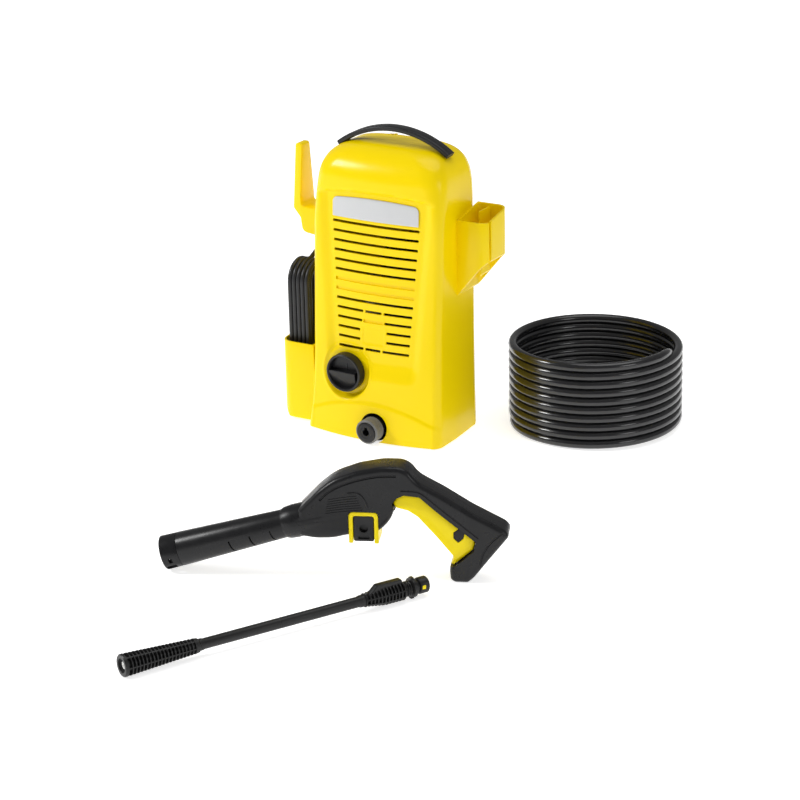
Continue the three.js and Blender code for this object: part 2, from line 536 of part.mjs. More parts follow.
function addGun(group) {
  const [px, pz] = TRIGGER.pivot;
  const bevel = { bevelEnabled: true, bevelThickness: 6, bevelSize: 5, bevelOffset: -5, bevelSegments: 2 };
  const blank = solid(extrudeBack(gunOutline(), 6 - GUN.half, GUN.half - 6, bevel));
  let shell = blank
    .subtract(swept(TRIGGER_ROOM, TRIGGER.pivot, TRIGGER.swing, 3))
    .subtract(solid(extrudeBack(polygon(TRIGGER_ROOM), -30, 30)))
    .subtract(block(231, 269, -30, 30, 40, 92))
    .subtract(rod('y', 3 + GAP, -12, 12, px, pz, 10))
    .subtract(block(182, 236, -8.3, 8.3, 84, 100.6));
  shell = shell.subtract(barrelSolid(GAP + 0.1));
  const [left, right] = [shell.intersect(block(100, 500, GAP / 2, 60, -20, 200)),
    shell.intersect(block(100, 500, -60, -GAP / 2, -20, 200))];
  addPart(group, 'gun_shell_left', left, 'black');
  addPart(group, 'gun_shell_right', right, 'black');

  const room = barrelAlong(rod('x', 15, -6, 26, 0, 0, 14));
  addPart(group, 'gun_barrel', barrelSolid(0).subtract(barrelAlong(block(-50, 22.3, -40, 40, -40, 20)))
    .subtract(barrelAlong(rod('x', 15, 0, 26, 0, 0, 14))), 'black');
  const ring = barrelSolid(0).intersect(barrelAlong(block(-50, 22, -40, 40, -40, 20))).subtract(room)
    .subtract(barrelAlong(block(6, 14, -4, 4, -30, 0)));
  addPart(group, 'muzzle_ring', ring, 'black');

  const pin = rod('y', 3, -11.6, 11.6, px, pz, 10);
  const lockEdge = [[361, 66], [368, 71], [375, 66], [374, 58], [367, 52], [361, 58]];
  const lockHole = solid(extrudeBack(polygon(grown(lockEdge, 0.4)), -30, 30));
  const trigger = solid(extrudeBack(polygon(TRIGGER_EDGE), -TRIGGER.half, TRIGGER.half))
    .subtract(rod('y', 3 + GAP, -30, 30, px, pz, 10)).subtract(lockHole);
  addPart(group, 'trigger', trigger, 'yellow');
  addPart(group, 'trigger_pin', pin, 'steel');
  addPart(group, 'trigger_lock', solid(extrudeBack(polygon(lockEdge), -TRIGGER.half, 11.5)), 'carbon');

  const socket = block(237.6, 262.4, -16, 16, 52, 86).subtract(rod('z', 6.5, 40, 78, 250, 0, 12));
  addPart(group, 'hose_socket', socket, 'black');
  const clip = block(231.6, 268.4, -17, 17, 50, 91.4).subtract(block(237, 263, -30, 30, 40, 86.6));
  addPart(group, 'release_clip', clip, 'yellow');
  addPart(group, 'gun_valve', block(183, 230.8, -8, 8, 84.6, 100), 'brass');
}

function barrelAlong(body) {
  const degrees = -GUN.barrel * 180 / Math.PI;
  return body.rotate([0, degrees, 0]).translate([-7, 0, 22 * Math.cos(GUN.barrel)]);
}

function barrelSolid(grow) {
  return barrelAlong(rod('x', 22 + grow, 0, 190, 0, 0, 18, 17 + grow));
}

// ---------------------------------------------------------------- spray lance
// Its own frame: X from the nozzle to the connector, Z up; the axis lies LANCE.axis above the floor.
function lathed(profile, sides) {
  return solid(turned(profile, sides).rotateZ(-Math.PI / 2).translate(0, 0, LANCE.axis));
}

function addLance(group) {
  const head = [[0, 0], [13.5, 0], [14, 2], [9, 96], [9, 100], [0, 100]];
  const cavity = [[0, -1], [8, -1], [8, 34], [0, 34]];
  addPart(group, 'nozzle_head', lathed(head, 16).subtract(lathed(cavity, 12)), 'black');
  addPart(group, 'jet_rotor', lathed([[0, 3], [5, 3], [7, 10], [7, 30], [0, 33]], 10), 'white');
  addPart(group, 'lance_tube', lathed([[0, 100.3], [6.6, 100.3], [6.6, 324], [0, 324]], 12), 'black');
  const grip = lathed([[0, 324.3], [9, 324.3], [12.5, 346], [12.5, 380], [0, 380]], 14);
  const fin = polygon([[328, LANCE.axis], [342, LANCE.axis + 17], [376, LANCE.axis + 17],
    [379.5, LANCE.axis]]);
  addPart(group, 'lance_grip', grip.add(solid(extrudeBack(fin, -4, 4))), 'black');
  const neck = [[0, 380.3], [9.5, 380.3], [9.5, 390], [12.5, 391], [12.5, 395], [8, 396], [8, 400],
    [10.5, 401], [10.5, 413], [9, 414], [0, 414]];
  const wings = block(390.5, 394.5, -3.5, 3.5, 0, LANCE.axis * 2);
  addPart(group, 'bayonet_connector', lathed(neck, 14).add(wings), 'black');
}

// ---------------------------------------------------------------- the whole set
const washer = new THREE.Group();
addCasing(washer);
addBadge(washer);
addHandle(washer);
addKnob(washer);
addOutlet(washer);
addInlet(washer);
addPocket(washer);
addHolster(washer);
addHook(washer);
addPump(washer);
addMotor(washer);
addPowerCord(washer);
addHose(washer);

const gun = new THREE.Group();
gun.position.set(GUN.x, GUN.y, 0);
gun.rotation.z = GUN.turn;
addGun(gun);
washer.add(gun);

const lance = new THREE.Group();
lance.position.set(LANCE.x, LANCE.y, 0);
lance.rotation.z = LANCE.turn;
addLance(lance);
washer.add(lance);

export default washer;
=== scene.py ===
"""Looks for a pressure washer set: the machine, its trigger gun, lance, hose and wound power cord.

Sizes are in millimetres, as in the CAD, and become metres where a mesh or a curve is made.
"""
import json
import math

import bmesh
import bpy
import numpy as np
from mathutils import Matrix, Vector


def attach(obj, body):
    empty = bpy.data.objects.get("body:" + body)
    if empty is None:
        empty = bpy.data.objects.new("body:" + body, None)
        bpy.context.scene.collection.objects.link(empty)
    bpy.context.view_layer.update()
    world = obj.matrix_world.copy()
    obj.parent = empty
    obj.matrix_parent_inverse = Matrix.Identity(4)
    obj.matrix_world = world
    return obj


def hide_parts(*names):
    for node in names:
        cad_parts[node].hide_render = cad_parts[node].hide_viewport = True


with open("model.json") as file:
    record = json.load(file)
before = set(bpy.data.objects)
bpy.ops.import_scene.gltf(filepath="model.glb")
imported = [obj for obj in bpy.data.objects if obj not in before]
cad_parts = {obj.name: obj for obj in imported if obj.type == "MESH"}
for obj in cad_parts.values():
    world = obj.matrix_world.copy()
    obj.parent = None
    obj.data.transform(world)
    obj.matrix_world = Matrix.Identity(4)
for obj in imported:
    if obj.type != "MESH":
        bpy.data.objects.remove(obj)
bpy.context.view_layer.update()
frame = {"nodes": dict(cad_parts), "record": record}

MM = 0.001
X, Y, Z = Vector((1, 0, 0)), Vector((0, 1, 0)), Vector((0, 0, 1))


def moved(x, y, z):
    return Matrix.Translation((x, y, z))


def turned(degrees, axis):
    return Matrix.Rotation(math.radians(degrees), 4, axis)


# Planes for flat outlines: each maps (a, b, depth) to (X, Y, Z).
UP = Matrix.Identity(4)
BACK = Matrix(((1, 0, 0, 0), (0, 0, 1, 0), (0, 1, 0, 0), (0, 0, 0, 1)))
ACROSS = Matrix(((0, 0, 1, 0), (1, 0, 0, 0), (0, 1, 0, 0), (0, 0, 0, 1)))

GUN = moved(7.8, -588.8, 0) @ turned(23.4, "Z")
BARREL_TILT = math.radians(16.15)
BARREL = (GUN @ moved(-7, 0, 22 * math.cos(BARREL_TILT))
          @ Matrix.Rotation(-BARREL_TILT, 4, "Y") @ turned(90, "Y"))
LANCE = moved(136.8, -871.4, 0) @ turned(61.7, "Z")
LANCE_AXIS = LANCE @ moved(0, 0, 14) @ turned(90, "Y")


# ------------------------------------------------------------------ camera and studio
def add_camera():
    turn, rise, roll = math.radians(30.8), math.radians(20.2), math.radians(1.27)
    aim, distance = Vector((0.00027, -0.00163, 0.03244)), 3.816
    level = Vector((math.cos(turn), math.sin(turn), 0))
    inward = Vector((-math.sin(turn), math.cos(turn), 0))
    ahead = inward * math.cos(rise) - Z * math.sin(rise)
    lifted = inward * math.sin(rise) + Z * math.cos(rise)
    right = level * math.cos(roll) - lifted * math.sin(roll)
    up = lifted * math.cos(roll) + level * math.sin(roll)
    data = bpy.data.cameras.new("camera")
    data.sensor_width = 36
    data.lens = 119.25
    camera = bpy.data.objects.new("camera", data)
    axes = Matrix((right, up, -ahead)).transposed().to_4x4()
    camera.matrix_world = Matrix.Translation(aim - ahead * distance) @ axes
    bpy.context.scene.collection.objects.link(camera)
    bpy.context.scene.camera = camera


def add_light(name, place, target, size, power):
    data = bpy.data.lights.new(name, "AREA")
    data.shape = "DISK"
    data.size = size
    data.energy = power
    lamp = bpy.data.objects.new(name, data)
    lamp.location = place
    lamp.rotation_euler = (Vector(target) - Vector(place)).to_track_quat("-Z", "Y").to_euler()
    bpy.context.scene.collection.objects.link(lamp)


def dress_stage(stage, name, shade, glow):
    """Gives a part of the studio its white look, which glows a little so that it stays white."""
    stage.name = name
    look = bpy.data.materials.new(name)
    look.use_nodes = True
    shader = look.node_tree.nodes["Principled BSDF"]
    shader.inputs["Base Color"].default_value = (shade, shade, shade, 1)
    shader.inputs["Roughness"].default_value = 0.9
    shader.inputs["Specular IOR Level"].default_value = 0.0
    shader.inputs["Emission Color"].default_value = (1, 1, 1, 1)
    shader.inputs["Emission Strength"].default_value = glow
    stage.data.materials.append(look)


def add_studio():
    world = bpy.data.worlds.new("studio")
    world.use_nodes = True
    world.node_tree.nodes["Background"].inputs["Color"].default_value = (1, 1, 1, 1)
    world.node_tree.nodes["Background"].inputs["Strength"].default_value = 0.27
    bpy.context.scene.world = world
    bpy.context.scene.view_settings.view_transform = "Standard"
    add_light("key", (-2.5, -2.0, 2.3), (0, 0, 0.2), 1.0, 66)
    add_light("top", (0.5, 0.3, 3.2), (0.1, -0.2, 0), 2.6, 32)
    add_light("side", (3.2, -1.0, 1.3), (0.1, -0.1, 0.2), 1.2, 11)
    bpy.ops.mesh.primitive_plane_add(size=40)
    dress_stage(bpy.context.object, "studio_floor", 0.93, 0.7)
    bpy.ops.mesh.primitive_uv_sphere_add(segments=48, ring_count=24, radius=19)
    backdrop = bpy.context.object
    dress_stage(backdrop, "studio_backdrop", 0, 0.97)
    backdrop.visible_diffuse = False
    backdrop.visible_glossy = False
    backdrop.visible_shadow = False


# ------------------------------------------------------------------ materials
def surface(name, colour, roughness, spread=0.06, grain=0.5, bump=0.03, tint=0.05, metal=0.0,
            coat=0.0, level=0.5, stretch=(1, 1, 1)):
    """A moulded or machined surface. grain is the size of its texture in millimetres, bump its
    strength, tint and spread how much colour and roughness vary over it."""
    look = bpy.data.materials.new(name)
    look.use_nodes = True
    nodes, links = look.node_tree.nodes, look.node_tree.links
    shader = nodes["Principled BSDF"]
    shader.inputs["Metallic"].default_value = metal
    shader.inputs["Coat Weight"].default_value = coat
    shader.inputs["Specular IOR Level"].default_value = level
    shader.inputs["Coat Roughness"].default_value = 0.12
    where = nodes.new("ShaderNodeTexCoord")
    scaled = nodes.new("ShaderNodeMapping")
    scaled.inputs["Scale"].default_value = stretch
    links.new(where.outputs["Object"], scaled.inputs["Vector"])

    def noise(scale, detail):
        node = nodes.new("ShaderNodeTexNoise")
        node.inputs["Scale"].default_value = scale
        node.inputs["Detail"].default_value = detail
        links.new(scaled.outputs["Vector"], node.inputs["Vector"])
        return node.outputs["Fac"]

    def remap(value, low, high):
        node = nodes.new("ShaderNodeMapRange")
        node.inputs["From Min"].default_value = 0.3
        node.inputs["From Max"].default_value = 0.7
        node.inputs["To Min"].default_value = low
        node.inputs["To Max"].default_value = high
        links.new(value, node.inputs["Value"])
        return node.outputs["Result"]

    mix = nodes.new("ShaderNodeMix")
    mix.data_type = "RGBA"
    mix.inputs["A"].default_value = (*[c * (1 - tint) for c in colour], 1)
    mix.inputs["B"].default_value = (*[min(1, c * (1 + tint)) for c in colour], 1)
    links.new(remap(noise(9, 3), 0, 1), mix.inputs["Factor"])
    links.new(mix.outputs["Result"], shader.inputs["Base Color"])
    links.new(remap(noise(60, 4), roughness - spread, roughness + spread), shader.inputs["Roughness"])
    relief = nodes.new("ShaderNodeBump")
    relief.inputs["Strength"].default_value = bump
    relief.inputs["Distance"].default_value = 0.3 * MM
    links.new(noise(1 / (grain * MM), 2), relief.inputs["Height"])
    links.new(relief.outputs["Normal"], shader.inputs["Normal"])
    return look


LOOKS = {
    "yellow_plastic": surface("yellow_plastic", (1.0, 0.735, 0.0), 0.22, 0.03, 0.9, 0.02, 0.01,
                              level=0.22),
    "gun_yellow": surface("gun_yellow", (1.0, 0.79, 0.0), 0.34, 0.04, 0.5, 0.05, 0.01, level=0.25),
    "black_plastic": surface("black_plastic", (0.012, 0.012, 0.013), 0.36, 0.07, 0.45, 0.12, 0.12,
                             level=0.35),
    "gun_black": surface("gun_black", (0.011, 0.011, 0.012), 0.3, 0.06, 0.4, 0.08, 0.12,
                         level=0.28),
    "lance_black": surface("lance_black", (0.014, 0.014, 0.014), 0.36, 0.06, 0.4, 0.1, 0.12,
                           level=0.3),
    "grey_plastic": surface("grey_plastic", (0.16, 0.16, 0.16), 0.5, 0.08, 0.5, 0.25, 0.12),
    "badge_silver": surface("badge_silver", (0.6, 0.61, 0.62), 0.34, 0.012, 0.6, 0.004, 0.012, 0.3),
    "white_plastic": surface("white_plastic", (0.72, 0.72, 0.7), 0.45, 0.06, 0.5, 0.1, 0.04),
    "steel": surface("steel", (0.55, 0.56, 0.58), 0.32, 0.1, 0.25, 0.15, 0.08, 1.0, stretch=(1, 1, 8)),
    "aluminium": surface("aluminium", (0.62, 0.63, 0.65), 0.45, 0.1, 0.8, 0.3, 0.08, 1.0),
    "copper": surface("copper", (0.6, 0.27, 0.12), 0.35, 0.1, 0.4, 0.3, 0.15, 1.0, stretch=(1, 1, 6)),
    "brass": surface("brass", (0.65, 0.47, 0.17), 0.32, 0.08, 0.4, 0.12, 0.08, 1.0),
    "carbon": surface("carbon", (0.03, 0.03, 0.032), 0.75, 0.1, 0.3, 0.4, 0.2),
    "cord_rubber": surface("cord_rubber", (0.014, 0.014, 0.015), 0.36, 0.07, 0.6, 0.1, 0.1),
    "hose_rubber": surface("hose_rubber", (0.009, 0.009, 0.01), 0.2, 0.06, 2.5, 0.1, 0.2, coat=0.25),
}


# ------------------------------------------------------------------ mesh tools
def weld(piece, gap, sliver=None):
    """Joins points closer than gap, dissolves edges shorter than sliver, and turns faces outward."""
    form = bmesh.new()
    form.from_mesh(piece.data)
    bmesh.ops.remove_doubles(form, verts=form.verts, dist=gap)
    if sliver:
        bmesh.ops.dissolve_degenerate(form, edges=form.edges, dist=sliver)
    bmesh.ops.recalc_face_normals(form, faces=form.faces)
    form.to_mesh(piece.data)
    form.free()
    return piece


def mesh_piece(name, points, faces, place=UP):
    mesh = bpy.data.meshes.new(name)
    mesh.from_pydata([tuple(MM * (place @ Vector(p))) for p in points], [], faces)
    piece = bpy.data.objects.new(name, mesh)
    bpy.context.scene.collection.objects.link(piece)
    return weld(piece, 1e-7, 1e-8)


def settle(piece):
    """Applies the piece's modifiers, or turns its curve into a mesh."""
    graph = bpy.context.evaluated_depsgraph_get()
    mesh = bpy.data.meshes.new_from_object(piece.evaluated_get(graph))
    piece.modifiers.clear()
    piece.data = mesh
    return piece


def modify(piece, kind, **settings):
    modifier = piece.modifiers.new(kind.lower(), kind)
    for key, value in settings.items():
        setattr(modifier, key, value)
    return settle(piece)


def combine(piece, others, operation="DIFFERENCE"):
    for other in others:
        modify(piece, "BOOLEAN", operation=operation, solver="MANIFOLD", object=other)
        bpy.data.objects.remove(other)
    return piece


def bevel(piece, width, segments=3, angle=30):
    return modify(piece, "BEVEL", width=width * MM, segments=segments, limit_method="ANGLE",
                  angle_limit=math.radians(angle), harden_normals=False)


def sheet(name, rows, wrap=False, caps=False, place=UP):
    """A surface through rows of points. wrap joins each row's ends; caps closes the end rows."""
    count = len(rows[0])
    points = [p for row in rows for p in row]
    faces = []
    for i in range(len(rows) - 1):
        for j in range(count if wrap else count - 1):
            k = (j + 1) % count
            faces.append((i * count + j, i * count + k, (i + 1) * count + k, (i + 1) * count + j))
    if caps:
        faces.append(tuple(range(count))[::-1])
        faces.append(tuple((len(rows) - 1) * count + j for j in range(count)))
    return mesh_piece(name, points, faces, place)


def lathe(name, profile, place=UP, sides=64):
    """The (radius, height) profile turned round the place's own Z axis. It starts and ends at
    radius 0, or a ring's ends where it began."""
    rows = []
    for radius, height in profile:
        angles = [2 * math.pi * i / sides for i in range(sides)]
        rows.append([(radius * math.cos(a), radius * math.sin(a), height) for a in angles])
    return sheet(name, rows, wrap=True, place=place)


def prism(name, outline, low, high, place=UP):
    rows = [[(a, b, depth) for a, b in outline] for depth in (low, high)]
    return sheet(name, rows, wrap=True, caps=True, place=place)


def block(x0, x1, y0, y1, z0, z1, place=UP):
    return prism("block", [(x0, y0), (x1, y0), (x1, y1), (x0, y1)], z0, z1, place)


def disc(a, b, radius, sides=48):
    turns = [2 * math.pi * i / sides for i in range(sides)]
    return [(a + radius * math.cos(t), b + radius * math.sin(t)) for t in turns]


def rounded(points, radius, steps=5):
    """The closed outline with its corners rounded. A point may carry its own radius last."""
    result = []
    for i, point in enumerate(points):
        here = Vector(point[:2])
        size = point[2] if len(point) > 2 else radius
        before = Vector(points[i - 1][:2]) - here
        after = Vector(points[(i + 1) % len(points)][:2]) - here
        half = before.angle(after) / 2
        if size <= 0 or half > math.radians(88):
            result.append(tuple(here))
            continue
        reach = min(size / math.tan(half), 0.48 * before.length, 0.48 * after.length)
        start, end = here + before.normalized() * reach, here + after.normalized() * reach
        for k in range(steps + 1):
            t = k / steps
            result.append(tuple((1 - t) ** 2 * start + 2 * t * (1 - t) * here + t * t * end))
    return result


def pillow(name, outline, low, high, edge, place=BACK, resolution=4):
    """A flat outline with a thickness, whose edges are rounded over by edge."""
    curve = bpy.data.curves.new(name, "CURVE")
    curve.dimensions = "2D"
    curve.fill_mode = "BOTH"
    curve.extrude = ((high - low) / 2 - edge) * MM
    curve.bevel_depth = edge * MM
    curve.offset = -edge * MM
    curve.bevel_resolution = resolution
    line = curve.splines.new("POLY")
    line.points.add(len(outline) - 1)
    for point, (a, b) in zip(line.points, outline):
        point.co = (a * MM, b * MM, 0, 1)
    line.use_cyclic_u = True
    source = bpy.data.objects.new(name, curve)
    bpy.context.scene.collection.objects.link(source)
    graph = bpy.context.evaluated_depsgraph_get()
    mesh = bpy.data.meshes.new_from_object(source.evaluated_get(graph))
    bpy.data.objects.remove(source)
    points = [(v.co.x / MM, v.co.y / MM, v.co.z / MM + (low + high) / 2) for v in mesh.vertices]
    faces = [tuple(p.vertices) for p in mesh.polygons]
    return weld(mesh_piece(name, points, faces, place), 5e-6)


def tube(name, points, radius, place=UP, sides=10):
    """A solid tube along points, with flat ends."""
    path = [Vector(p) for p in points]
    rows = []
    side = None
    for i, point in enumerate(path):
        ahead = (path[min(i + 1, len(path) - 1)] - path[max(i - 1, 0)]).normalized()
        start = side or (X if abs(ahead.x) < 0.9 else Y)
        side = (start - ahead * start.dot(ahead)).normalized()
        other = ahead.cross(side)
        turns = [2 * math.pi * k / sides for k in range(sides)]
        rows.append([point + radius * (math.cos(t) * side + math.sin(t) * other) for t in turns])
    return sheet(name, rows, wrap=True, caps=True, place=place)


def smooth_line(points, per_span=6):
    """A Catmull-Rom line through points, with per_span steps between neighbours."""
    knots = [2 * Vector(points[0]) - Vector(points[1]), *map(Vector, points)]
    knots.append(2 * knots[-1] - knots[-2])
    line = []
    for a, b, c, d in zip(knots, knots[1:], knots[2:], knots[3:]):
        for k in range(per_span):
            t = k / per_span
            line.append(0.5 * (2 * b + (c - a) * t + (2 * a - 5 * b + 4 * c - d) * t ** 2
                               + (3 * b - a - 3 * c + d) * t ** 3))
    line.append(knots[-2])
    return line


def soft(t):
    """Rises smoothly from 0 to 1 as t does, and is level outside."""
    t = np.clip(t, 0, 1)
    return t * t * (3 - 2 * t)


def join(piece, others):
    """Adds the others' faces to the piece, each still a closed body of its own."""
    form = bmesh.new()
    form.from_mesh(piece.data)
    for other in others:
        form.from_mesh(other.data)
        bpy.data.objects.remove(other)
    form.to_mesh(piece.data)
    form.free()
    return piece


def dress(piece, slot, body, *nodes, angle=35):
    """Shades the piece, gives it its material and body, and hides the CAD nodes it stands for."""
    if piece.type == "MESH":
        piece.data.shade_smooth()
        piece.data.set_sharp_from_angle(angle=math.radians(angle))
    piece.data.materials.clear()
    piece.data.materials.append(LOOKS[slot])
    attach(piece, body)
    if nodes:
        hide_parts(*nodes)
    return piece


# ------------------------------------------------------------------ power cord and hose
def cord_curve(name, points, radius):
    curve = bpy.data.curves.new(name, "CURVE")
    curve.dimensions = "3D"
    curve.bevel_depth = radius * MM
    curve.bevel_resolution = 5
    curve.use_fill_caps = True
    line = curve.splines.new("POLY")
    line.points.add(len(points) - 1)
    for point, place in zip(line.points, points):
        point.co = (*(MM * Vector(place)), 1)
    line.use_smooth = True
    piece = bpy.data.objects.new(name, curve)
    bpy.context.scene.collection.objects.link(piece)
    return piece


CORD_R = 3.5
LEAD = [(-118.3, 18, 246), (-122, 18, 246), (-128, 16, 245.2), (-132.5, 10.5, 243),
        (-134.8, 2.5, 239.6), (-135.5, -7, 234.8)]
TAIL = [(-135.7, 13.2, 168.7), (-136, 18.6, 171.5), (-136.4, 24.6, 172.4), (-137.2, 34.3, 169.8),
        (-137.8, 41.4, 162.7), (-138, 44, 153), (-138, 44, 140)]
# high and low are the middles of the hank's two bends, and leave is where the tail begins.
HANK = {"x": -135.5, "y": -22.5, "high": 202.8, "low": 44.2, "leave": 153,
        "outer": 27.6, "inner": 20.6}
PLUG = (-138, 44, 78)
GLAND = (0, 18, 246)


def hank_line():
    """Ten turns in five columns and two layers. The cord changes column at the foot of each turn."""
    turns = [("outer", 0), ("outer", 1), ("outer", 2), ("inner", 2), ("inner", 1), ("inner", 0),
             ("inner", -1), ("inner", -2), ("outer", -2), ("outer", -1), ("outer", 0)]
    line = []
    for number, ((layer, column), (layer_next, column_next)) in enumerate(zip(turns, turns[1:])):
        r, x = HANK[layer], HANK["x"] + 2 * CORD_R * column
        r_next, x_next = HANK[layer_next], HANK["x"] + 2 * CORD_R * column_next
        for k in range(9):
            angle = math.radians(90 + 90 * k / 8)
            line.append((x, HANK["y"] + r * math.cos(angle), HANK["high"] + r * math.sin(angle)))
        for k in range(1, 6):
            line.append((x, HANK["y"] - r, HANK["high"] + (HANK["low"] - HANK["high"]) * k / 6))
        for k in range(17):
            t = k / 16
            share = soft(t)
            angle = math.pi * (1 + t)
            radius = r + (r_next - r) * share
            line.append((x + (x_next - x) * share, HANK["y"] + radius * math.cos(angle),
                         HANK["low"] + radius * math.sin(angle)))
        last = number == len(turns) - 2
        top = HANK["leave"] if last else HANK["high"]
        for k in range(1, 6):
            line.append((x_next, HANK["y"] + r_next, HANK["low"] + (top - HANK["low"]) * k / 6))
        if last:
            break
        for k in range(8):
            angle = math.radians(90 * k / 8)
            line.append((x_next, HANK["y"] + r_next * math.cos(angle),
                         HANK["high"] + r_next * math.sin(angle)))
    return line


def add_power_cord():
    tail_arc = [(-135.5, 5.1, 148), (-135.5, 5.9, 157), (-135.6, 8.6, 163.6)]
    route = smooth_line(LEAD, 4) + [(-135.5, -14.5, 231.6)] + hank_line()
    route += tail_arc + smooth_line(TAIL, 3)
    cord = cord_curve("power_cord_flex", route, CORD_R)
    dress(cord, "cord_rubber", "machine", "power_cord", "cord_hank", "cord_tail")

    body = [(0, 14), (11, 14), (16.5, 16), (18, 20), (18, 36), (15.5, 41), (9, 47), (7, 49)]
    for k in range(4):
        foot = 49 + 3.2 * k
        body += [(6.6 - 0.3 * k, foot), (6.6 - 0.3 * k, foot + 1.8), (5.2 - 0.2 * k, foot + 2.1),
                 (5.2 - 0.2 * k, foot + 3.0)]
    body += [(5, 61.8), (0, 61.8)]
    at = moved(*PLUG)
    plug = lathe("mains_plug", body, at)
    pins = [lathe("pin", [(0, 0), (1.8, 0), (2.4, 1), (2.4, 15), (0, 15)],
                  at @ moved(0, side, 0), 24) for side in (-9.5, 9.5)]
    join(plug, pins)
    dress(plug, "cord_rubber", "machine", "power_plug")


HOSE = {"x": 248.5, "y": 129, "ring": 118, "r": 6.5, "top": 123.5}
# Each fitting's CAD node, which way it points, and its height.
FITTINGS = {"hose_fitting_machine": ("hose_end_machine", 90, 10),
            "hose_fitting_gun": ("hose_end_gun", -90, 34)}


def hose_line():
    """Nine and a third turns. Both ends turn in to fittings that lie inside the coil."""
    start, settled, leave, end = 99.1, 229, 3580, 3699.1
    gun_end = FITTINGS["hose_fitting_gun"][2]
    line = []
    steps = 560
    for i in range(steps + 1):
        degrees = start + (end - start) * i / steps
        radius = HOSE["ring"] - 29.9 * (1 - soft((degrees - start) / (settled - start)))
        radius -= 13.5 * soft((degrees - leave) / 45) + 16.4 * soft((degrees - leave - 30) / 89)
        climb = min(1, max(0, (degrees - settled) / (leave - settled)))
        height = HOSE["r"] + (HOSE["top"] - HOSE["r"]) * climb
        height += 3.5 * (1 - soft((degrees - start) / 60))
        height -= (HOSE["top"] - gun_end) * soft((degrees - leave - 8) / 108)
        angle = math.radians(degrees)
        line.append((HOSE["x"] + radius * math.cos(angle), HOSE["y"] + radius * math.sin(angle),
                     height))
    return line


def add_hose():
    route = hose_line()
    hose = cord_curve("pressure_hose", route, HOSE["r"])
    dress(hose, "hose_rubber", "hose", "hose_coil")
    profile = [(0, -14), (6.9, -14), (7.6, -12), (7.6, 2), (8.2, 4), (8.2, 8), (9, 9)]
    for k in range(6):
        foot = 10 + 3.6 * k
        profile += [(9, foot), (8.3, foot + 0.8), (8.3, foot + 1.6), (9, foot + 2.4)]
    profile += [(9, 33), (7, 34), (5, 34.5), (5, 38), (4.2, 38.8), (4.2, 41), (5, 41.8), (5, 49),
                (4, 50), (0, 50)]
    for name, (node, turn, height) in FITTINGS.items():
        place = moved(HOSE["x"], HOSE["y"] + HOSE["ring"] - 31, height) @ turned(turn, "Y")
        dress(lathe(name, profile, place, 40), "black_plastic", "hose", node)


# ------------------------------------------------------------------ machine casing
# bow is how much the front curves over bow_half; crown is the power of the shoulder's curve.
CASE = {"half": 104, "front": -78.5, "rear": 66, "top": 415, "shoulder": 312, "roll": 46, "split": 32,
        "flare_top": 132, "lean": 0.0714, "foot": 6, "side": 5, "wall": 2.6, "sill": 2,
        "bow": 9, "bow_half": 93, "crown": 2 / 4.4}
# On the front: the grille's recess, the deeper pad in it, and the skirt's step.
RECESS = {"depth": 5.6, "margin": 5, "fade": 17, "top": 347.5, "arch": 5, "bottom": 116}
PAD = {"z": 150.5, "tall": 12.5, "wide": 17, "depth": 0.7}
SKIRT = {"top": 57, "drop": 17, "half": 84, "depth": 1.6}
GRILLE = {"top": 308, "pitch": 13.7, "wide": 70, "narrow": 57, "rows": 14, "slot": 4}
# What each row cuts through and what it only marks, as shares of the row's half width. A row that
# is not in SLOTS is cut from end to end.
SLOTS = {6: [], 7: [],
         9: [(-1, -0.27), (-0.22, 0.22), (0.27, 1)], 10: [(-1, -0.3), (0.3, 1)],
         11: [(-1, -0.36), (0.36, 1)], 12: [(-1, -0.36), (0.36, 1)],
         13: [(-1, -0.27), (-0.22, 0.22), (0.27, 1)]}
BLIND_ROWS = {6: (-1, 1), 7: (-1, 1), 10: (-0.27, 0.27)}
KNOB = {"x": -41, "z": 94, "r": 28, "face": -88.5, "back": -73.5, "dish": 38}
OUTLET = {"x": 9, "z": 21}
INLET = {"x": 12, "z": 38}
SCREWS = [(-56, 70), (56, 70)]


def grille_half(z):
    row = (GRILLE["top"] - z) / (GRILLE["pitch"] * (GRILLE["rows"] - 1))
    return GRILLE["wide"] + (GRILLE["narrow"] - GRILLE["wide"]) * row


def front_relief(x, z):
    """How far the front face lies behind its plain curve: the grille's recess, dish and skirt."""
    across = (np.abs(x) - grille_half(z) - RECESS["margin"]) / RECESS["fade"]
    above = (z - RECESS["top"] - RECESS["arch"] * (1 - (x / 76) ** 2)) / 5
    below = (RECESS["bottom"] - z) / 30
    reach = np.sqrt(sum(np.maximum(past, 0) ** 2 for past in (across, above, below)))
    depth = RECESS["depth"] * (1 - soft(reach))
    pad = np.maximum(np.abs(x) - PAD["wide"], np.abs(z - PAD["z"]) - PAD["tall"])
    depth = depth + PAD["depth"] * (1 - soft(pad / 2 + 0.5))
    skirt = SKIRT["top"] - SKIRT["drop"] * (x / SKIRT["half"]) ** 2
    return depth - SKIRT["depth"] * soft((skirt - z) / 5)


def foot_share(z):
    """The share of the foot's spread at height z: 1 at the floor, 0 from flare_top up."""
    return np.maximum(0, 1 - np.maximum(z, 0) / CASE["flare_top"]) ** 2


def bowed(x):
    """The front face's plain bulge."""
    return CASE["front"] + CASE["bow"] * (x / CASE["bow_half"]) ** 2


def lean(y, z):
    tilt = CASE["lean"] * (np.maximum(z, 0) - CASE["flare_top"]) - CASE["foot"] * foot_share(z)
    return y + np.maximum(0, -y / 80) * tilt


def flare(x, y, z):
    spread = foot_share(z) * CASE["side"] / CASE["half"]
    return x * (1 + spread * np.clip(0.6 - y / 60, 0.2, 1))


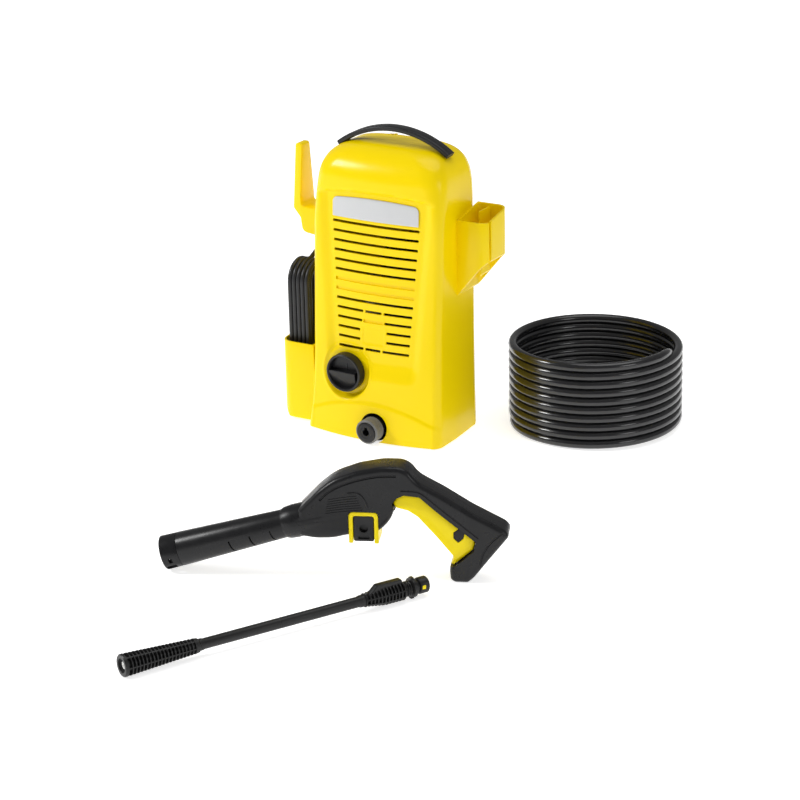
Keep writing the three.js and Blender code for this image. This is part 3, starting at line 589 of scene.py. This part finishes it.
def roll_in(z):
    """How far the crown has turned in at height z."""
    t = np.clip((z - CASE["top"] + CASE["roll"]) / CASE["roll"], 0, 1)
    return CASE["roll"] * (1 - np.sqrt(1 - t ** 2))


def front_y(x, z):
    """The front face's surface."""
    y = lean(bowed(x), z) + roll_in(z) + front_relief(x, z)
    away = np.hypot(x - KNOB["x"], z - KNOB["z"])
    y = y - 0.9 * np.exp(-((away - 40.5) / 1.6) ** 2)
    dish = soft((KNOB["dish"] + 1 - away) / 5)
    return y * (1 - dish) + (KNOB["back"] + 0.5) * dish


def crown_levels(step):
    """Heights and half widths over the shoulder, evenly spaced along its curve."""
    turn = np.linspace(0, math.pi / 2, 4000)
    half = CASE["half"] * np.cos(turn) ** CASE["crown"]
    half[-1] = 0
    height = CASE["shoulder"] + (CASE["top"] - CASE["shoulder"]) * np.sin(turn) ** CASE["crown"]
    along = np.concatenate([[0], np.cumsum(np.hypot(np.diff(half), np.diff(height)))])
    places = np.linspace(0, along[-1], int(along[-1] / step))
    return np.interp(places, along, height), np.interp(places, along, half)


def casing_levels(step):
    walls = np.arange(CASE["sill"], CASE["shoulder"], step)
    height, half = crown_levels(2.2)
    return list(zip(walls, [CASE["half"]] * len(walls))) + list(zip(height, half))


def front_ring(z, half, columns=124):
    """The front cover's outline at one height, from its right seam round to its left seam."""
    corner = min(14 + 22 * soft((z - 300) / 90), 0.95 * half + 0.01)
    edge = half - 0.81 * corner
    centre = bowed(edge) + 0.98 * corner
    seam = CASE["split"] - 0.2
    inset = roll_in(z)
    points = []
    for t in np.linspace(0, 1, 16)[:-1]:
        y = seam + (centre - seam) * t
        points.append((flare(half, y, z), lean(y, z) + inset * t, z))
    for angle in np.radians(np.linspace(0, 79, 12))[:-1]:
        x, y = half - corner + corner * math.cos(angle), centre - corner * math.sin(angle)
        relief = front_relief(x, z) if z < 360 else 0
        points.append((flare(x, y, z), lean(y, z) + inset + relief, z))
    mirrored = [(-x, y, z) for x, y, z in reversed(points)]
    across = np.linspace(edge, -edge, columns)
    faces = front_y(flare(across, CASE["front"], z), z)
    middle = [(flare(x, CASE["front"], z), y, z) for x, y in zip(across, faces)]
    return points + middle + mirrored


def rear_ring(z, half):
    """The rear cover's outline at one height, from its left seam round to its right seam."""
    corner = min(42, 0.95 * half + 0.01)
    seam = CASE["split"] + 0.2
    centre = CASE["rear"] - corner
    inset = roll_in(z) * (CASE["rear"] - seam) / CASE["roll"]
    points = []
    for t in np.linspace(0, 1, 3)[:-1]:
        points.append((-flare(half, seam, z), seam + (max(centre, seam) - seam) * t, z))
    for angle in np.radians(np.linspace(0, 90, 26)):
        y = centre + corner * math.sin(angle)
        if y <= seam + 0.5:
            continue
        share = (y - seam) / (CASE["rear"] - seam)
        x = half - corner + corner * math.cos(angle)
        points.append((-flare(x, y, z), y - inset * share, z))
    while len(points) < 28:
        points.insert(2, tuple((np.array(points[1]) + np.array(points[2])) / 2))
    inner = half - corner
    panel = []
    for x in np.linspace(-inner, inner, 46)[1:-1]:
        ramp = soft((52 - abs(x)) / 5) * soft((z - 112) / 5) * soft((330 - z) / 5)
        panel.append((flare(x, CASE["rear"], z), CASE["rear"] - inset - 1.6 * ramp, z))
    return points + panel + [(-x, y, z) for x, y, z in reversed(points)]


def cover(name, ring, step):
    levels = casing_levels(step)
    if ring is rear_ring:
        levels = [level for level in levels if roll_in(level[0]) < 0.98 * CASE["roll"]]
    rows = [ring(z, half) for z, half in levels]
    shell = sheet(name, rows)
    form = bmesh.new()
    form.from_mesh(shell.data)
    middle = sum((f.normal * f.calc_area() for f in form.faces), Vector())
    if middle.y * (-1 if ring is front_ring else 1) < 0:
        bmesh.ops.reverse_faces(form, faces=form.faces)
    form.to_mesh(shell.data)
    form.free()
    return modify(shell, "SOLIDIFY", thickness=CASE["wall"] * MM, offset=-1, use_even_offset=False)


def slot_cutter(x0, x1, z):
    half = GRILLE["slot"] / 2
    outline = rounded([(x0, z - half), (x1, z - half), (x1, z + half), (x0, z + half)], 1.1, 3)
    return prism("slot", outline, -110, -35, BACK)


def groove_cutter(x0, x1, z, depth):
    """A blind groove that follows the front face."""
    half = GRILLE["slot"] / 2 + 0.7
    rows = []
    for x in np.linspace(x0, x1, 40):
        y = float(front_y(x, z))
        rows.append([(x, y - 8, z - half), (x, y + depth, z - half + 0.4),
                     (x, y + depth, z + half - 0.4), (x, y - 8, z + half)])
    return sheet("groove", rows, wrap=True, caps=True)


def add_front_cover():
    shell = cover("front_cover_shell", front_ring, 1.6)
    cutters = []
    for row in range(GRILLE["rows"]):
        z = GRILLE["top"] - GRILLE["pitch"] * row
        half = grille_half(z)
        if row in BLIND_ROWS:
            a, b = BLIND_ROWS[row]
            cutters.append(groove_cutter(a * half, b * half, z, 2.2))
        cutters += [slot_cutter(a * half, b * half, z) for a, b in SLOTS.get(row, [(-1, 1)])]
    cutters.append(prism("outlet_hole", disc(OUTLET["x"], OUTLET["z"], 21.5, 72), -120, -50, BACK))
    cutters.append(prism("spindle_hole", disc(KNOB["x"], KNOB["z"], 7.5), -100, -55, BACK))
    gland = lathe("gland_hole", [(0, -130), (7.4, -130), (7.4, -90), (0, -90)],
                  moved(*GLAND) @ turned(90, "Y"), 32)
    combine(shell, [*cutters, gland])
    dress(shell, "yellow_plastic", "machine", "front_cover", angle=40)


def add_rear_cover():
    shell = cover("rear_cover_shell", rear_ring, 5)
    cutters = [prism("inlet_hole", disc(INLET["x"], INLET["z"], 15), 40, 90, BACK)]
    cutters += [prism("screw_well", disc(x, z, 4.8, 32), 50, 90, BACK) for x, z in SCREWS]
    for k in range(8):
        z = 150 + 20 * k
        outline = rounded([(-40, z - 2), (40, z - 2), (40, z + 2), (-40, z + 2)], 1.9, 4)
        cutters.append(prism("louvre", outline, 63.2, 80, BACK))
    combine(shell, cutters)
    dress(shell, "yellow_plastic", "machine", "rear_cover", angle=40)


def add_badge():
    """A blank plate with an arched top, let into the grille's recess."""
    half, low, high, corner = 69, 315, 342, 7
    rows = []
    for v in np.linspace(0, 1, 12):
        row = []
        for u in np.linspace(-1, 1, 90):
            x = half * math.sin(u * math.pi / 2)
            over = max(0, abs(x) - half + corner)
            drop = corner - math.sqrt(max(0, corner ** 2 - over ** 2))
            z = low + v * (high - low + 4 * (1 - (x / half) ** 2) - drop)
            row.append((x, float(front_y(x, z)) - 1.3, z))
        rows.append(row)
    plate = sheet("badge", rows)
    modify(plate, "SOLIDIFY", thickness=1.2 * MM, offset=0)
    bevel(plate, 0.35, 2)
    dress(plate, "badge_silver", "machine", "badge_plate")


HANDLE = {"x": 3, "y": -4, "half": 86, "top": 440, "foot": 413, "thick": 8, "crowned": 6.5,
          "wide": 18}


def add_handle():
    """An arched band with a crowned top, whose ends go into the crown."""
    rise = HANDLE["top"] - HANDLE["foot"]
    radius = (HANDLE["half"] ** 2 + rise ** 2) / (2 * rise)
    swing = math.asin(HANDLE["half"] / radius) * 1.06
    wide, thick = HANDLE["wide"] / 2, HANDLE["thick"]
    section = rounded([(-wide, 0), (wide, 0), (wide, -thick), (-wide, -thick)], 2.2, 4)
    rows = []
    for turn in np.linspace(-swing, swing, 72):
        row = []
        for across, down in section:
            r = radius + down - 1.1 * (across / wide) ** 2 * (1 + down / HANDLE["crowned"])
            row.append((HANDLE["x"] + r * math.sin(turn), HANDLE["y"] + across,
                        HANDLE["top"] - radius + r * math.cos(turn)))
        rows.append(row)
    band = sheet("carry_band", rows, wrap=True, caps=True)
    dress(band, "black_plastic", "machine", "carry_handle")


def facing(x, z, y=0):
    """A place whose own Z axis points to the front, away from the machine."""
    return moved(x, y, z) @ turned(90, "X")


def add_knob():
    r, depth = KNOB["r"], KNOB["back"] - KNOB["face"]
    at = facing(KNOB["x"], KNOB["z"], KNOB["back"])
    rim = [(0, -8), (6, -8), (6, 0), (26.5, 0), (r, 1.5), (r, depth - 2.5), (r - 0.7, depth - 0.7),
           (r - 2, depth), (r - 3.6, depth - 0.4), (r - 4.4, depth - 1.6), (r - 5, 4.5), (0, 3.5)]
    knob = lathe("knob_rim", rim, at, 96)
    grip = prism("grip", disc(0, 0, r - 4.6, 96), 2, depth + 4, at)
    # The grip fills the lower half, and slopes back from its edge to the rim's foot.
    slope = [(-r, 0), (1.5, 0), (1.5, depth - 0.4), (0.5, depth), (-20, depth - 6.5),
             (-r, depth - 7.5)]
    combine(grip, [prism("slope", slope, -r, r, at @ ACROSS)], "INTERSECT")
    side = prism("side", [(17, -r), (r, -r), (r, 2), (19, 2)], 6.5, depth + 5, at)
    combine(grip, [side])
    bevel(grip, 0.7, 3, 25)
    join(knob, [grip])
    mark = prism("mark", rounded([(-1.2, 3.2), (1.2, 3.2), (1.2, 12), (-1.2, 12)], 1.1), 3, 4.6, at)
    join(knob, [mark])
    dress(knob, "black_plastic", "knob", "switch_knob")


def add_outlet():
    at = facing(OUTLET["x"], OUTLET["z"])
    nose = lathe("outlet_nose", [(0, 62), (14.6, 62), (14.6, 111), (13.6, 112.6), (12.6, 113),
                                 (8.6, 113), (8.2, 112.4), (0, 112.2)], at, 72)
    socket = prism("socket", disc(0, 0, 5.2, 40), 93, 115, at)
    key = prism("key", rounded([(-2.2, 0), (2.2, 0), (2.2, 7.6), (-2.2, 7.6)], 0.6), 93, 115, at)
    combine(nose, [socket, key])
    dress(nose, "black_plastic", "machine", "outlet_coupling")
    ring = [(15, 93), (15, 111), (15.8, 111), (16.4, 110.2)]
    for k in range(5):
        foot = 109.4 - 3.2 * k
        ring += [(17.6, foot), (17.6, foot - 1.9), (16.9, foot - 2.3), (16.9, foot - 2.9)]
    ring += [(17.6, 93), (15, 93)]
    sleeve = lathe("outlet_release_sleeve", ring, at, 72)
    dress(sleeve, "grey_plastic", "outlet_button", "outlet_release")
    throat = lathe("outlet_throat", [(15.5, 63), (21, 63), (21, 84), (20.4, 84), (20.4, 64), (15.5, 64),
                                     (15.5, 63)], at, 72)
    dress(throat, "black_plastic", "machine")


def add_inlet():
    at = moved(INLET["x"], 0, INLET["z"]) @ turned(-90, "X")
    profile = [(0, 40), (13, 40), (13, 60), (14.4, 60), (14.4, 64)]
    for k in range(4):
        foot = 64.6 + 1.7 * k
        profile += [(12.4, foot), (13, foot + 0.5), (13, foot + 0.9), (12.4, foot + 1.3)]
    profile += [(12, 71), (10.4, 71), (10, 70.4), (10, 47), (0, 47)]
    dress(lathe("inlet_socket", profile, at, 56), "black_plastic", "machine", "water_inlet")


def add_gland():
    """A ribbed strain relief that tapers towards the cord."""
    at = moved(*GLAND) @ turned(-90, "Y")
    profile = [(0, 97), (7, 97), (7, 104.3), (8.5, 104.3), (8.5, 106.4), (8, 107), (6.4, 107)]
    for k in range(4):
        foot = 107.6 + 2.4 * k
        radius = 6.2 - 0.36 * k
        profile += [(radius, foot), (radius, foot + 1.2), (radius - 0.9, foot + 1.5),
                    (radius - 0.9, foot + 2.2)]
    profile += [(4.6, 117.4), (4.2, 118), (0, 118)]
    dress(lathe("strain_relief", profile, at, 40), "black_plastic", "machine", "cord_gland")


# ------------------------------------------------------------------ storage on the casing's sides
def add_pocket():
    x0, x1, y0, y1, z0, z1, wall = -161, -103.6, -66, 12, 4, 119, 2.5
    outline = rounded([(x0, y0, 22), (x1, y0, 0), (x1, y1, 0), (x0, y1, 9)], 0, 10)
    hollow = rounded([(x0 + wall, y0 + wall, 19.5), (x1 - 3, y0 + wall, 4), (x1 - 3, y1 - wall, 4),
                      (x0 + wall, y1 - wall, 6)], 0, 10)
    pocket = prism("pocket", outline, z0, z1 + 12)
    taper = [(x0 - 5, z0 - 5), (x0 + 16, z0 - 5), (x0 + 8, z0 + 5), (x0 - 5, z0 + 30)]
    rim = rounded([(y0 - 9, z1), (y0 + 20, z1, 30), (y1 + 9, z1 + 8), (y1 + 9, z1 + 40),
                   (y0 - 9, z1 + 40)], 0, 8)
    combine(pocket, [prism("taper", rounded(taper, 8), y0 - 9, y1 + 9, BACK)])
    bevel(pocket, 3.2, 4, 50)
    combine(pocket, [prism("hollow", hollow, z0 + wall + 1, z1 + 40),
                     prism("rim", rim, x0 - 9, x1 + 9, ACROSS)])
    bevel(pocket, 0.5, 2, 50)
    dress(pocket, "yellow_plastic", "machine", "cable_pocket")


def add_holster():
    x0, x1, y0, y1, low, high, wall = 103.4, 152, -14, 50, 208, 331, 3
    outline = rounded([(x0, y0, 0), (x1, y0, 16), (x1, y1, 16), (x0, y1, 0)], 0, 10)
    hollow = rounded([(x0 + 3, y0 + wall, 6), (x1 - wall, y0 + wall, 13), (x1 - wall, y1 - wall, 13),
                      (x0 + 3, y1 - wall, 6)], 0, 10)
    holster = prism("holster", outline, low - 2, high + 3)
    side = rounded([(x0 - 5, low - 9), (x0, low), (140, 252), (x1, 263), (x1 + 9, 270),
                    (x1 + 9, low - 9)], 9, 6)
    rim = rounded([(y0 - 9, high - 13), (y0 + 8, high - 13, 6), (y1 + 9, high), (y1 + 9, high + 30),
                   (y0 - 9, high + 30)], 0)
    combine(holster, [prism("underside", side, y0 - 9, y1 + 9, BACK)])
    bevel(holster, 2.0, 3, 50)
    combine(holster, [prism("hollow", hollow, low - 30, high + 30),
                      prism("rim", rim, x0 - 9, x1 + 9, ACROSS)])
    rib = block(122, 124.5, 18, y1 - 1, low + 14, high - 6)
    slit = block(x1 - 13, x1 + 9, y0 + 9, y0 + 13.2, low - 30, high + 30)
    combine(rib, [prism("rib_cut", side, y0 - 9, y1 + 9, BACK)])
    combine(holster, [rib], "UNION")
    combine(holster, [slit])
    bevel(holster, 0.6, 2, 50)
    dress(holster, "yellow_plastic", "machine", "gun_holster")


def add_hook():
    """A bracket with an upright prong that tapers towards its top."""
    y0, y1, arm, top, x1 = -12, 25, 305, 398, -103.6
    outline = rounded([(x1, 262, 0), (-150, 268, 10), (-153, 289, 8), (-164, 302, 5), (-157, top, 4),
                       (-146, top, 4), (-152, arm, 9), (x1, arm, 0)], 0, 6)
    hook = prism("hook", outline, y0, y1, BACK)
    taper = [(y1 - 18, top + 9), (y1, arm + 12), (y1 + 9, arm + 12), (y1 + 9, top + 9)]
    combine(hook, [prism("taper", taper, -200, -120, ACROSS)])
    bevel(hook, 1.4, 3, 40)
    dress(hook, "yellow_plastic", "machine", "cable_hook")


# ------------------------------------------------------------------ trigger gun
SIDE = GUN @ BACK
GUN_OUTLINE = [(168, 57), (190, 54), (212, 55), (230, 60), (262, 62), (274, 70), (284, 82), (289, 96),
               (305, 92), (317, 84), (340, 58), (361, 32), (356, 20), (357, 4), (362, 0), (379, 0),
               (386, 6), (406, 32), (431, 64), (425, 72), (383, 94), (348, 116), (317, 133), (307, 146),
               (297, 151), (273, 151), (243, 145), (212, 133), (193, 117), (168, 91)]
TRIGGER_ROOM = [(288.5, 96), (285.4, 103), (290.7, 110.6), (300.9, 115.6), (320.2, 113.6),
                (341.5, 94.6), (389.8, 55.3), (386.7, 42.6), (364.4, 23.2), (354, 20),
                 (330, 40), (300, 72)]
TRIGGER_EDGE = [(289, 96), (286, 103), (291, 110), (301, 115), (320, 113), (341, 94), (389, 55),
                (386, 43), (364, 24), (357, 22), (361, 32), (340, 58), (317, 84), (305, 92)]
TRIGGER_PIVOT = (297, 106)
LOCK_EDGE = [(361, 66), (368, 71), (375, 66), (374, 58), (367, 52), (361, 58)]


def faired(points, sharp, blunt):
    """The outline rounded by sharp at its corners, and by blunt where it only bends."""
    result = []
    for i, (a, b) in enumerate(points):
        before = Vector(points[i - 1]) - Vector((a, b))
        after = Vector(points[(i + 1) % len(points)]) - Vector((a, b))
        result.append((a, b, blunt if before.angle(after) > math.radians(140) else sharp))
    return rounded(result, 0)


def turned_about(points, pivot, degrees):
    c, s = math.cos(math.radians(degrees)), math.sin(math.radians(degrees))
    return [(pivot[0] + (a - pivot[0]) * c - (b - pivot[1]) * s,
             pivot[1] + (a - pivot[0]) * s + (b - pivot[1]) * c) for a, b in points]


def add_gun_body():
    body = pillow("gun_body", faired(GUN_OUTLINE, 6, 70), -20, 20, 6, SIDE, 4)
    sleeve = lathe("sleeve", [(0, 160), (17.8, 160), (20.2, 166), (21.2, 176), (20.6, 214), (15, 226),
                              (0, 230)], BARREL, 72)
    combine(body, [sleeve], "UNION")
    room = [(231, 40, 0), (269, 40, 0), (269, 92, 5), (231, 92, 5)]
    cutters = [prism("trigger_room", rounded(TRIGGER_ROOM, 3), -30, 30, SIDE),
               *[prism("trigger_sweep", turned_about(TRIGGER_ROOM, TRIGGER_PIVOT, degrees),
                       -14.9, 14.9, SIDE) for degrees in (1.5, 3, 4.5, 6, 7.5, 9)],
               prism("clip_room", rounded(room, 0), -30, 30, SIDE),
               lathe("barrel_room", [(0, -10), (22.4, -10), (17.5, 190), (0, 190)], BARREL, 72),
               block(100, 500, -0.15, 0.15, -30, 220, GUN)]
    spine = smooth_line([(196, 0, 106), (206, 0, 116), (222, 0, 125.5), (245, 0, 134), (270, 0, 139.5),
                         (292, 0, 140.5)], 5)
    seam = smooth_line([(297, 0, 121.5), (306, 0, 121.5), (322, 0, 119), (344, 0, 101), (372, 0, 78),
                        (393, 0, 61)], 5)
    butt = smooth_line([(393, 0, 14), (397, 0, 36), (407, 0, 54), (426, 0, 72)], 6)
    for side in (-20.2, 20.2):
        for line, radius in ((butt, 1.1), (spine, 1.5), (seam, 1.1)):
            cutters.append(tube("groove", [(p.x, side, p.z) for p in line], radius, GUN, 12))
    combine(body, cutters)
    ribs = []
    for side in (-19.9, 19.9):
        for k in range(7):
            z = 90 + 3.1 * k
            line = [(203 + 0.6 * k, side, z - 1.5), (225, side, z + 2), (250 - 1.3 * k, side, z + 4.5)]
            ribs.append(tube("rib", smooth_line(line, 4), 0.75, GUN, 8))
        arc = smooth_line([(231, side, 116.5), (243, side, 117), (251, side, 110), (256, side, 98)], 6)
        ribs.append(tube("rib", arc, 1.3, GUN, 10))
    join(body, ribs)
    dress(body, "gun_black", "gun", "gun_shell_left", "gun_shell_right", angle=32)


def add_barrel():
    barrel = lathe("gun_barrel_tube", [(0, 22.5), (21.4, 22.5), (21.7, 23.2), (17.2, 190), (0, 190)],
                   BARREL, 96)
    combine(barrel, [lathe("bore", [(0, -1), (15.2, -1), (15.2, 26), (0, 26)], BARREL, 64)])
    for along in (96, 123, 150):
        at = BARREL @ moved(0, 0, along) @ turned(16, "X")
        notch = block(-1, 30, -30, 8, -0.9, 0.9, at)
        floor = lathe("notch_floor", [(0, 60), (16.6, 60), (16.6, 180), (0, 180)], BARREL, 48)
        combine(barrel, [combine(notch, [floor])])
    dress(barrel, "gun_black", "gun", "gun_barrel")

    ring = lathe("muzzle_collar", [(15.6, 0.8), (16.2, 0), (21.2, 0), (21.9, 0.8), (21.5, 22),
                                   (15.6, 22), (15.6, 0.8)], BARREL, 96)
    gate = prism("gate", rounded([(-5, 2), (5, 2), (5, 15), (-5, 15)], 1.6), 10, 40,
                 BARREL @ turned(-40, "Z") @ ACROSS)
    window = prism("window", rounded([(-3.5, 8), (3.5, 8), (3.5, 13), (-3.5, 13)], 1.4), 10, 40,
                   BARREL @ turned(-75, "Z") @ ACROSS)
    combine(ring, [gate, window])
    bevel(ring, 0.3, 2, 50)
    dress(ring, "gun_black", "gun", "muzzle_ring")
    core = lathe("gun_bore_seal", [(0, 19), (6, 19), (6, 16), (9, 16), (9, 20), (15, 20), (15, 24),
                                   (0, 24)], BARREL, 48)
    dress(core, "carbon", "gun")


def add_trigger():
    trigger = pillow("trigger_lever", rounded(TRIGGER_EDGE, 6), -14.5, 14.5, 4, SIDE, 1)
    hole = prism("lock_hole", rounded(LOCK_EDGE, 2), -30, 30, SIDE)
    combine(trigger, [hole, prism("pin_hole", disc(*TRIGGER_PIVOT, 3.2, 24), -12, 12, SIDE)])
    dress(trigger, "gun_yellow", "trigger", "trigger", angle=28)
    inner = [(368 + (a - 368) * 0.95, 61.5 + (b - 61.5) * 0.95) for a, b in LOCK_EDGE]
    lock = prism("trigger_lock_button", rounded(inner, 2), -14.3, 11.4, SIDE)
    bevel(lock, 0.8, 3, 50)
    dress(lock, "gun_black", "lock", "trigger_lock")


def add_hose_clip():
    outline = [(231.4, 50, 1), (231.4, 91.4, 7), (268.6, 91.4, 7), (268.6, 50, 1)]
    inside = [(236.6, 40, 0), (236.6, 86.4, 4), (263.4, 86.4, 4), (263.4, 40, 0)]
    clip = prism("hose_clip", rounded(outline, 0, 6), -19.4, 17, SIDE)
    combine(clip, [prism("clip_inside", rounded(inside, 0, 6), -30, 30, SIDE)])
    bevel(clip, 0.7, 3, 50)
    dress(clip, "gun_yellow", "clip", "release_clip")
    across = rounded([(237.4, 52), (262.6, 52), (262.6, 86), (237.4, 86)], 2.5)
    socket = prism("hose_socket_block", across, -17.6, 16, SIDE)
    bevel(socket, 0.8, 3, 50)
    notch = rounded([(243, 55), (257, 55), (257, 59), (243, 59)], 1)
    bore = [(0, 40), (6.5, 40), (6.5, 78), (0, 78)]
    combine(socket, [lathe("hose_bore", bore, GUN @ moved(250, 0, 0), 40),
                     prism("window", disc(250, 69, 5.4, 40), -30, -12, SIDE),
                     prism("notch", notch, -30, -15, SIDE)])
    dress(socket, "black_plastic", "gun", "hose_socket")


# ------------------------------------------------------------------ spray lance
def add_lance_head():
    """A conical grip of thin discs on a core, tied by ribs along it."""
    def outer(h):
        return 14 - 5 * (h / 100)
    profile = [(8.6, 0.6), (9.2, 0), (12.8, 0), (13.8, 1), (14, 4)]
    for k in range(19):
        foot = 5.4 + 4.7 * k
        r = outer(foot)
        profile += [(r - 4.2, foot), (r - 4.2, foot + 2.5), (r, foot + 2.9), (r, foot + 4.3)]
    profile += [(8.9, 97), (8.9, 98.5), (7.6, 100), (7, 100), (7, 34), (8.6, 34), (8.6, 0.6)]
    head = lathe("nozzle_grip", profile, LANCE_AXIS, 72)
    ties = []
    for k in range(6):
        at = LANCE_AXIS @ turned(30 + 60 * k, "Z")
        outline = [(7.2, 3), (13.5, 3), (outer(96) - 0.4, 96), (6.5, 96)]
        ties.append(prism("tie", outline, -0.8, 0.8, at @ BACK))
    join(head, ties)
    dress(head, "lance_black", "lance", "nozzle_head", angle=30)
    jet = lathe("jet_core", [(0, 4.5), (1, 4.5), (1.4, 3), (4.6, 3), (5.2, 3.8), (7, 10), (7, 30),
                             (0, 33)], LANCE_AXIS, 48)
    dress(jet, "white_plastic", "jet", "jet_rotor")
    cup = lathe("nozzle_cup", [(7.8, 2), (8.5, 2), (8.5, 33.5), (7.8, 33.5), (7.8, 2)], LANCE_AXIS, 56)
    dress(cup, "carbon", "lance")


def add_lance_tube():
    profile = [(0, 100.3), (7.4, 100.3), (7.4, 104), (6.7, 106), (6.7, 207), (6.45, 207.3),
               (6.45, 208), (6.7, 208.3), (6.7, 316), (7.6, 319), (7.6, 324), (0, 324)]
    dress(lathe("lance_pipe", profile, LANCE_AXIS, 56), "lance_black", "lance", "lance_tube")


def add_lance_grip():
    def outer(h):
        return 9 + 3.6 * min(1, max(0, (h - 326) / 22))
    profile = [(0, 324.3), (8.4, 324.3), (9, 325.5)]
    for k in range(11):
        foot = 327 + 4.7 * k
        r = outer(foot)
        profile += [(r - 3.4, foot), (r - 3.4, foot + 2.6), (r, foot + 3), (r, foot + 4.3)]
    profile += [(11.2, 380), (0, 380)]
    grip = lathe("lance_grip_body", profile, LANCE_AXIS, 64)
    at = LANCE @ BACK
    side = rounded([(325, 15), (342, 30.4), (377, 30.4), (380, 15), (380, 12), (325, 12)], 3)
    fin = pillow("fin", side, -4.4, 4.4, 1.4, at, 3)
    ties = []
    for turn in (-118, -75, 75, 118):
        place = LANCE_AXIS @ turned(180 + turn, "Z")
        outline = [(5, 325), (8.8, 326), (12.2, 348), (12.2, 379), (5, 379)]
        ties.append(prism("tie", outline, -0.8, 0.8, place @ BACK))
    join(grip, [fin, *ties])
    dress(grip, "lance_black", "lance", "lance_grip", angle=30)

    neck = [(0, 380.3), (9.4, 380.3)]
    for k in range(3):
        foot = 381 + 3 * k
        neck += [(9.4, foot), (9.8, foot + 0.4), (9.8, foot + 1.2), (9.4, foot + 1.6),
                 (8.2, foot + 1.7), (8.2, foot + 2.8)]
    neck += [(9.5, 390), (12.5, 391), (12.5, 395), (8.4, 396), (8, 400), (10, 401), (10.5, 402),
             (10.5, 412.4), (9.6, 413.6), (6, 414), (5.6, 413.6), (5.6, 410), (0, 410)]
    connector = lathe("lance_connector", neck, LANCE_AXIS, 64)
    wing = rounded([(-14, -3.6), (14, -3.6), (14, 3.6), (-14, 3.6)], 1.6)
    wings = prism("wings", wing, 390.5, 394.5, LANCE_AXIS)
    combine(connector, [wings], "UNION")
    dress(connector, "lance_black", "lance", "bayonet_connector", angle=30)
    square = rounded([(402.6, 12.6), (407.2, 12.6), (407.2, 17.4), (402.6, 17.4)], 0.8)
    spot = prism("connector_mark", square, -10.7, -9.6, at)
    dress(spot, "gun_yellow", "lance")


# ------------------------------------------------------------------ pieces kept as the CAD has them
def finish_cad_nodes():
    for part in frame["record"]["subparts"]:
        node = frame["nodes"][part["node"]]
        if node.hide_render:
            continue
        if not node.material_slots:
            node.data.materials.append(LOOKS[part["material_slot"]])
        for socket in node.material_slots:
            socket.material = LOOKS[part["material_slot"]]


# ------------------------------------------------------------------ the whole scene
add_camera()
add_power_cord()
add_hose()
add_front_cover()
add_rear_cover()
add_badge()
add_handle()
add_knob()
add_outlet()
add_inlet()
add_gland()
add_pocket()
add_holster()
add_hook()
add_gun_body()
add_barrel()
add_trigger()
add_hose_clip()
add_lance_head()
add_lance_tube()
add_lance_grip()
finish_cad_nodes()
add_studio()
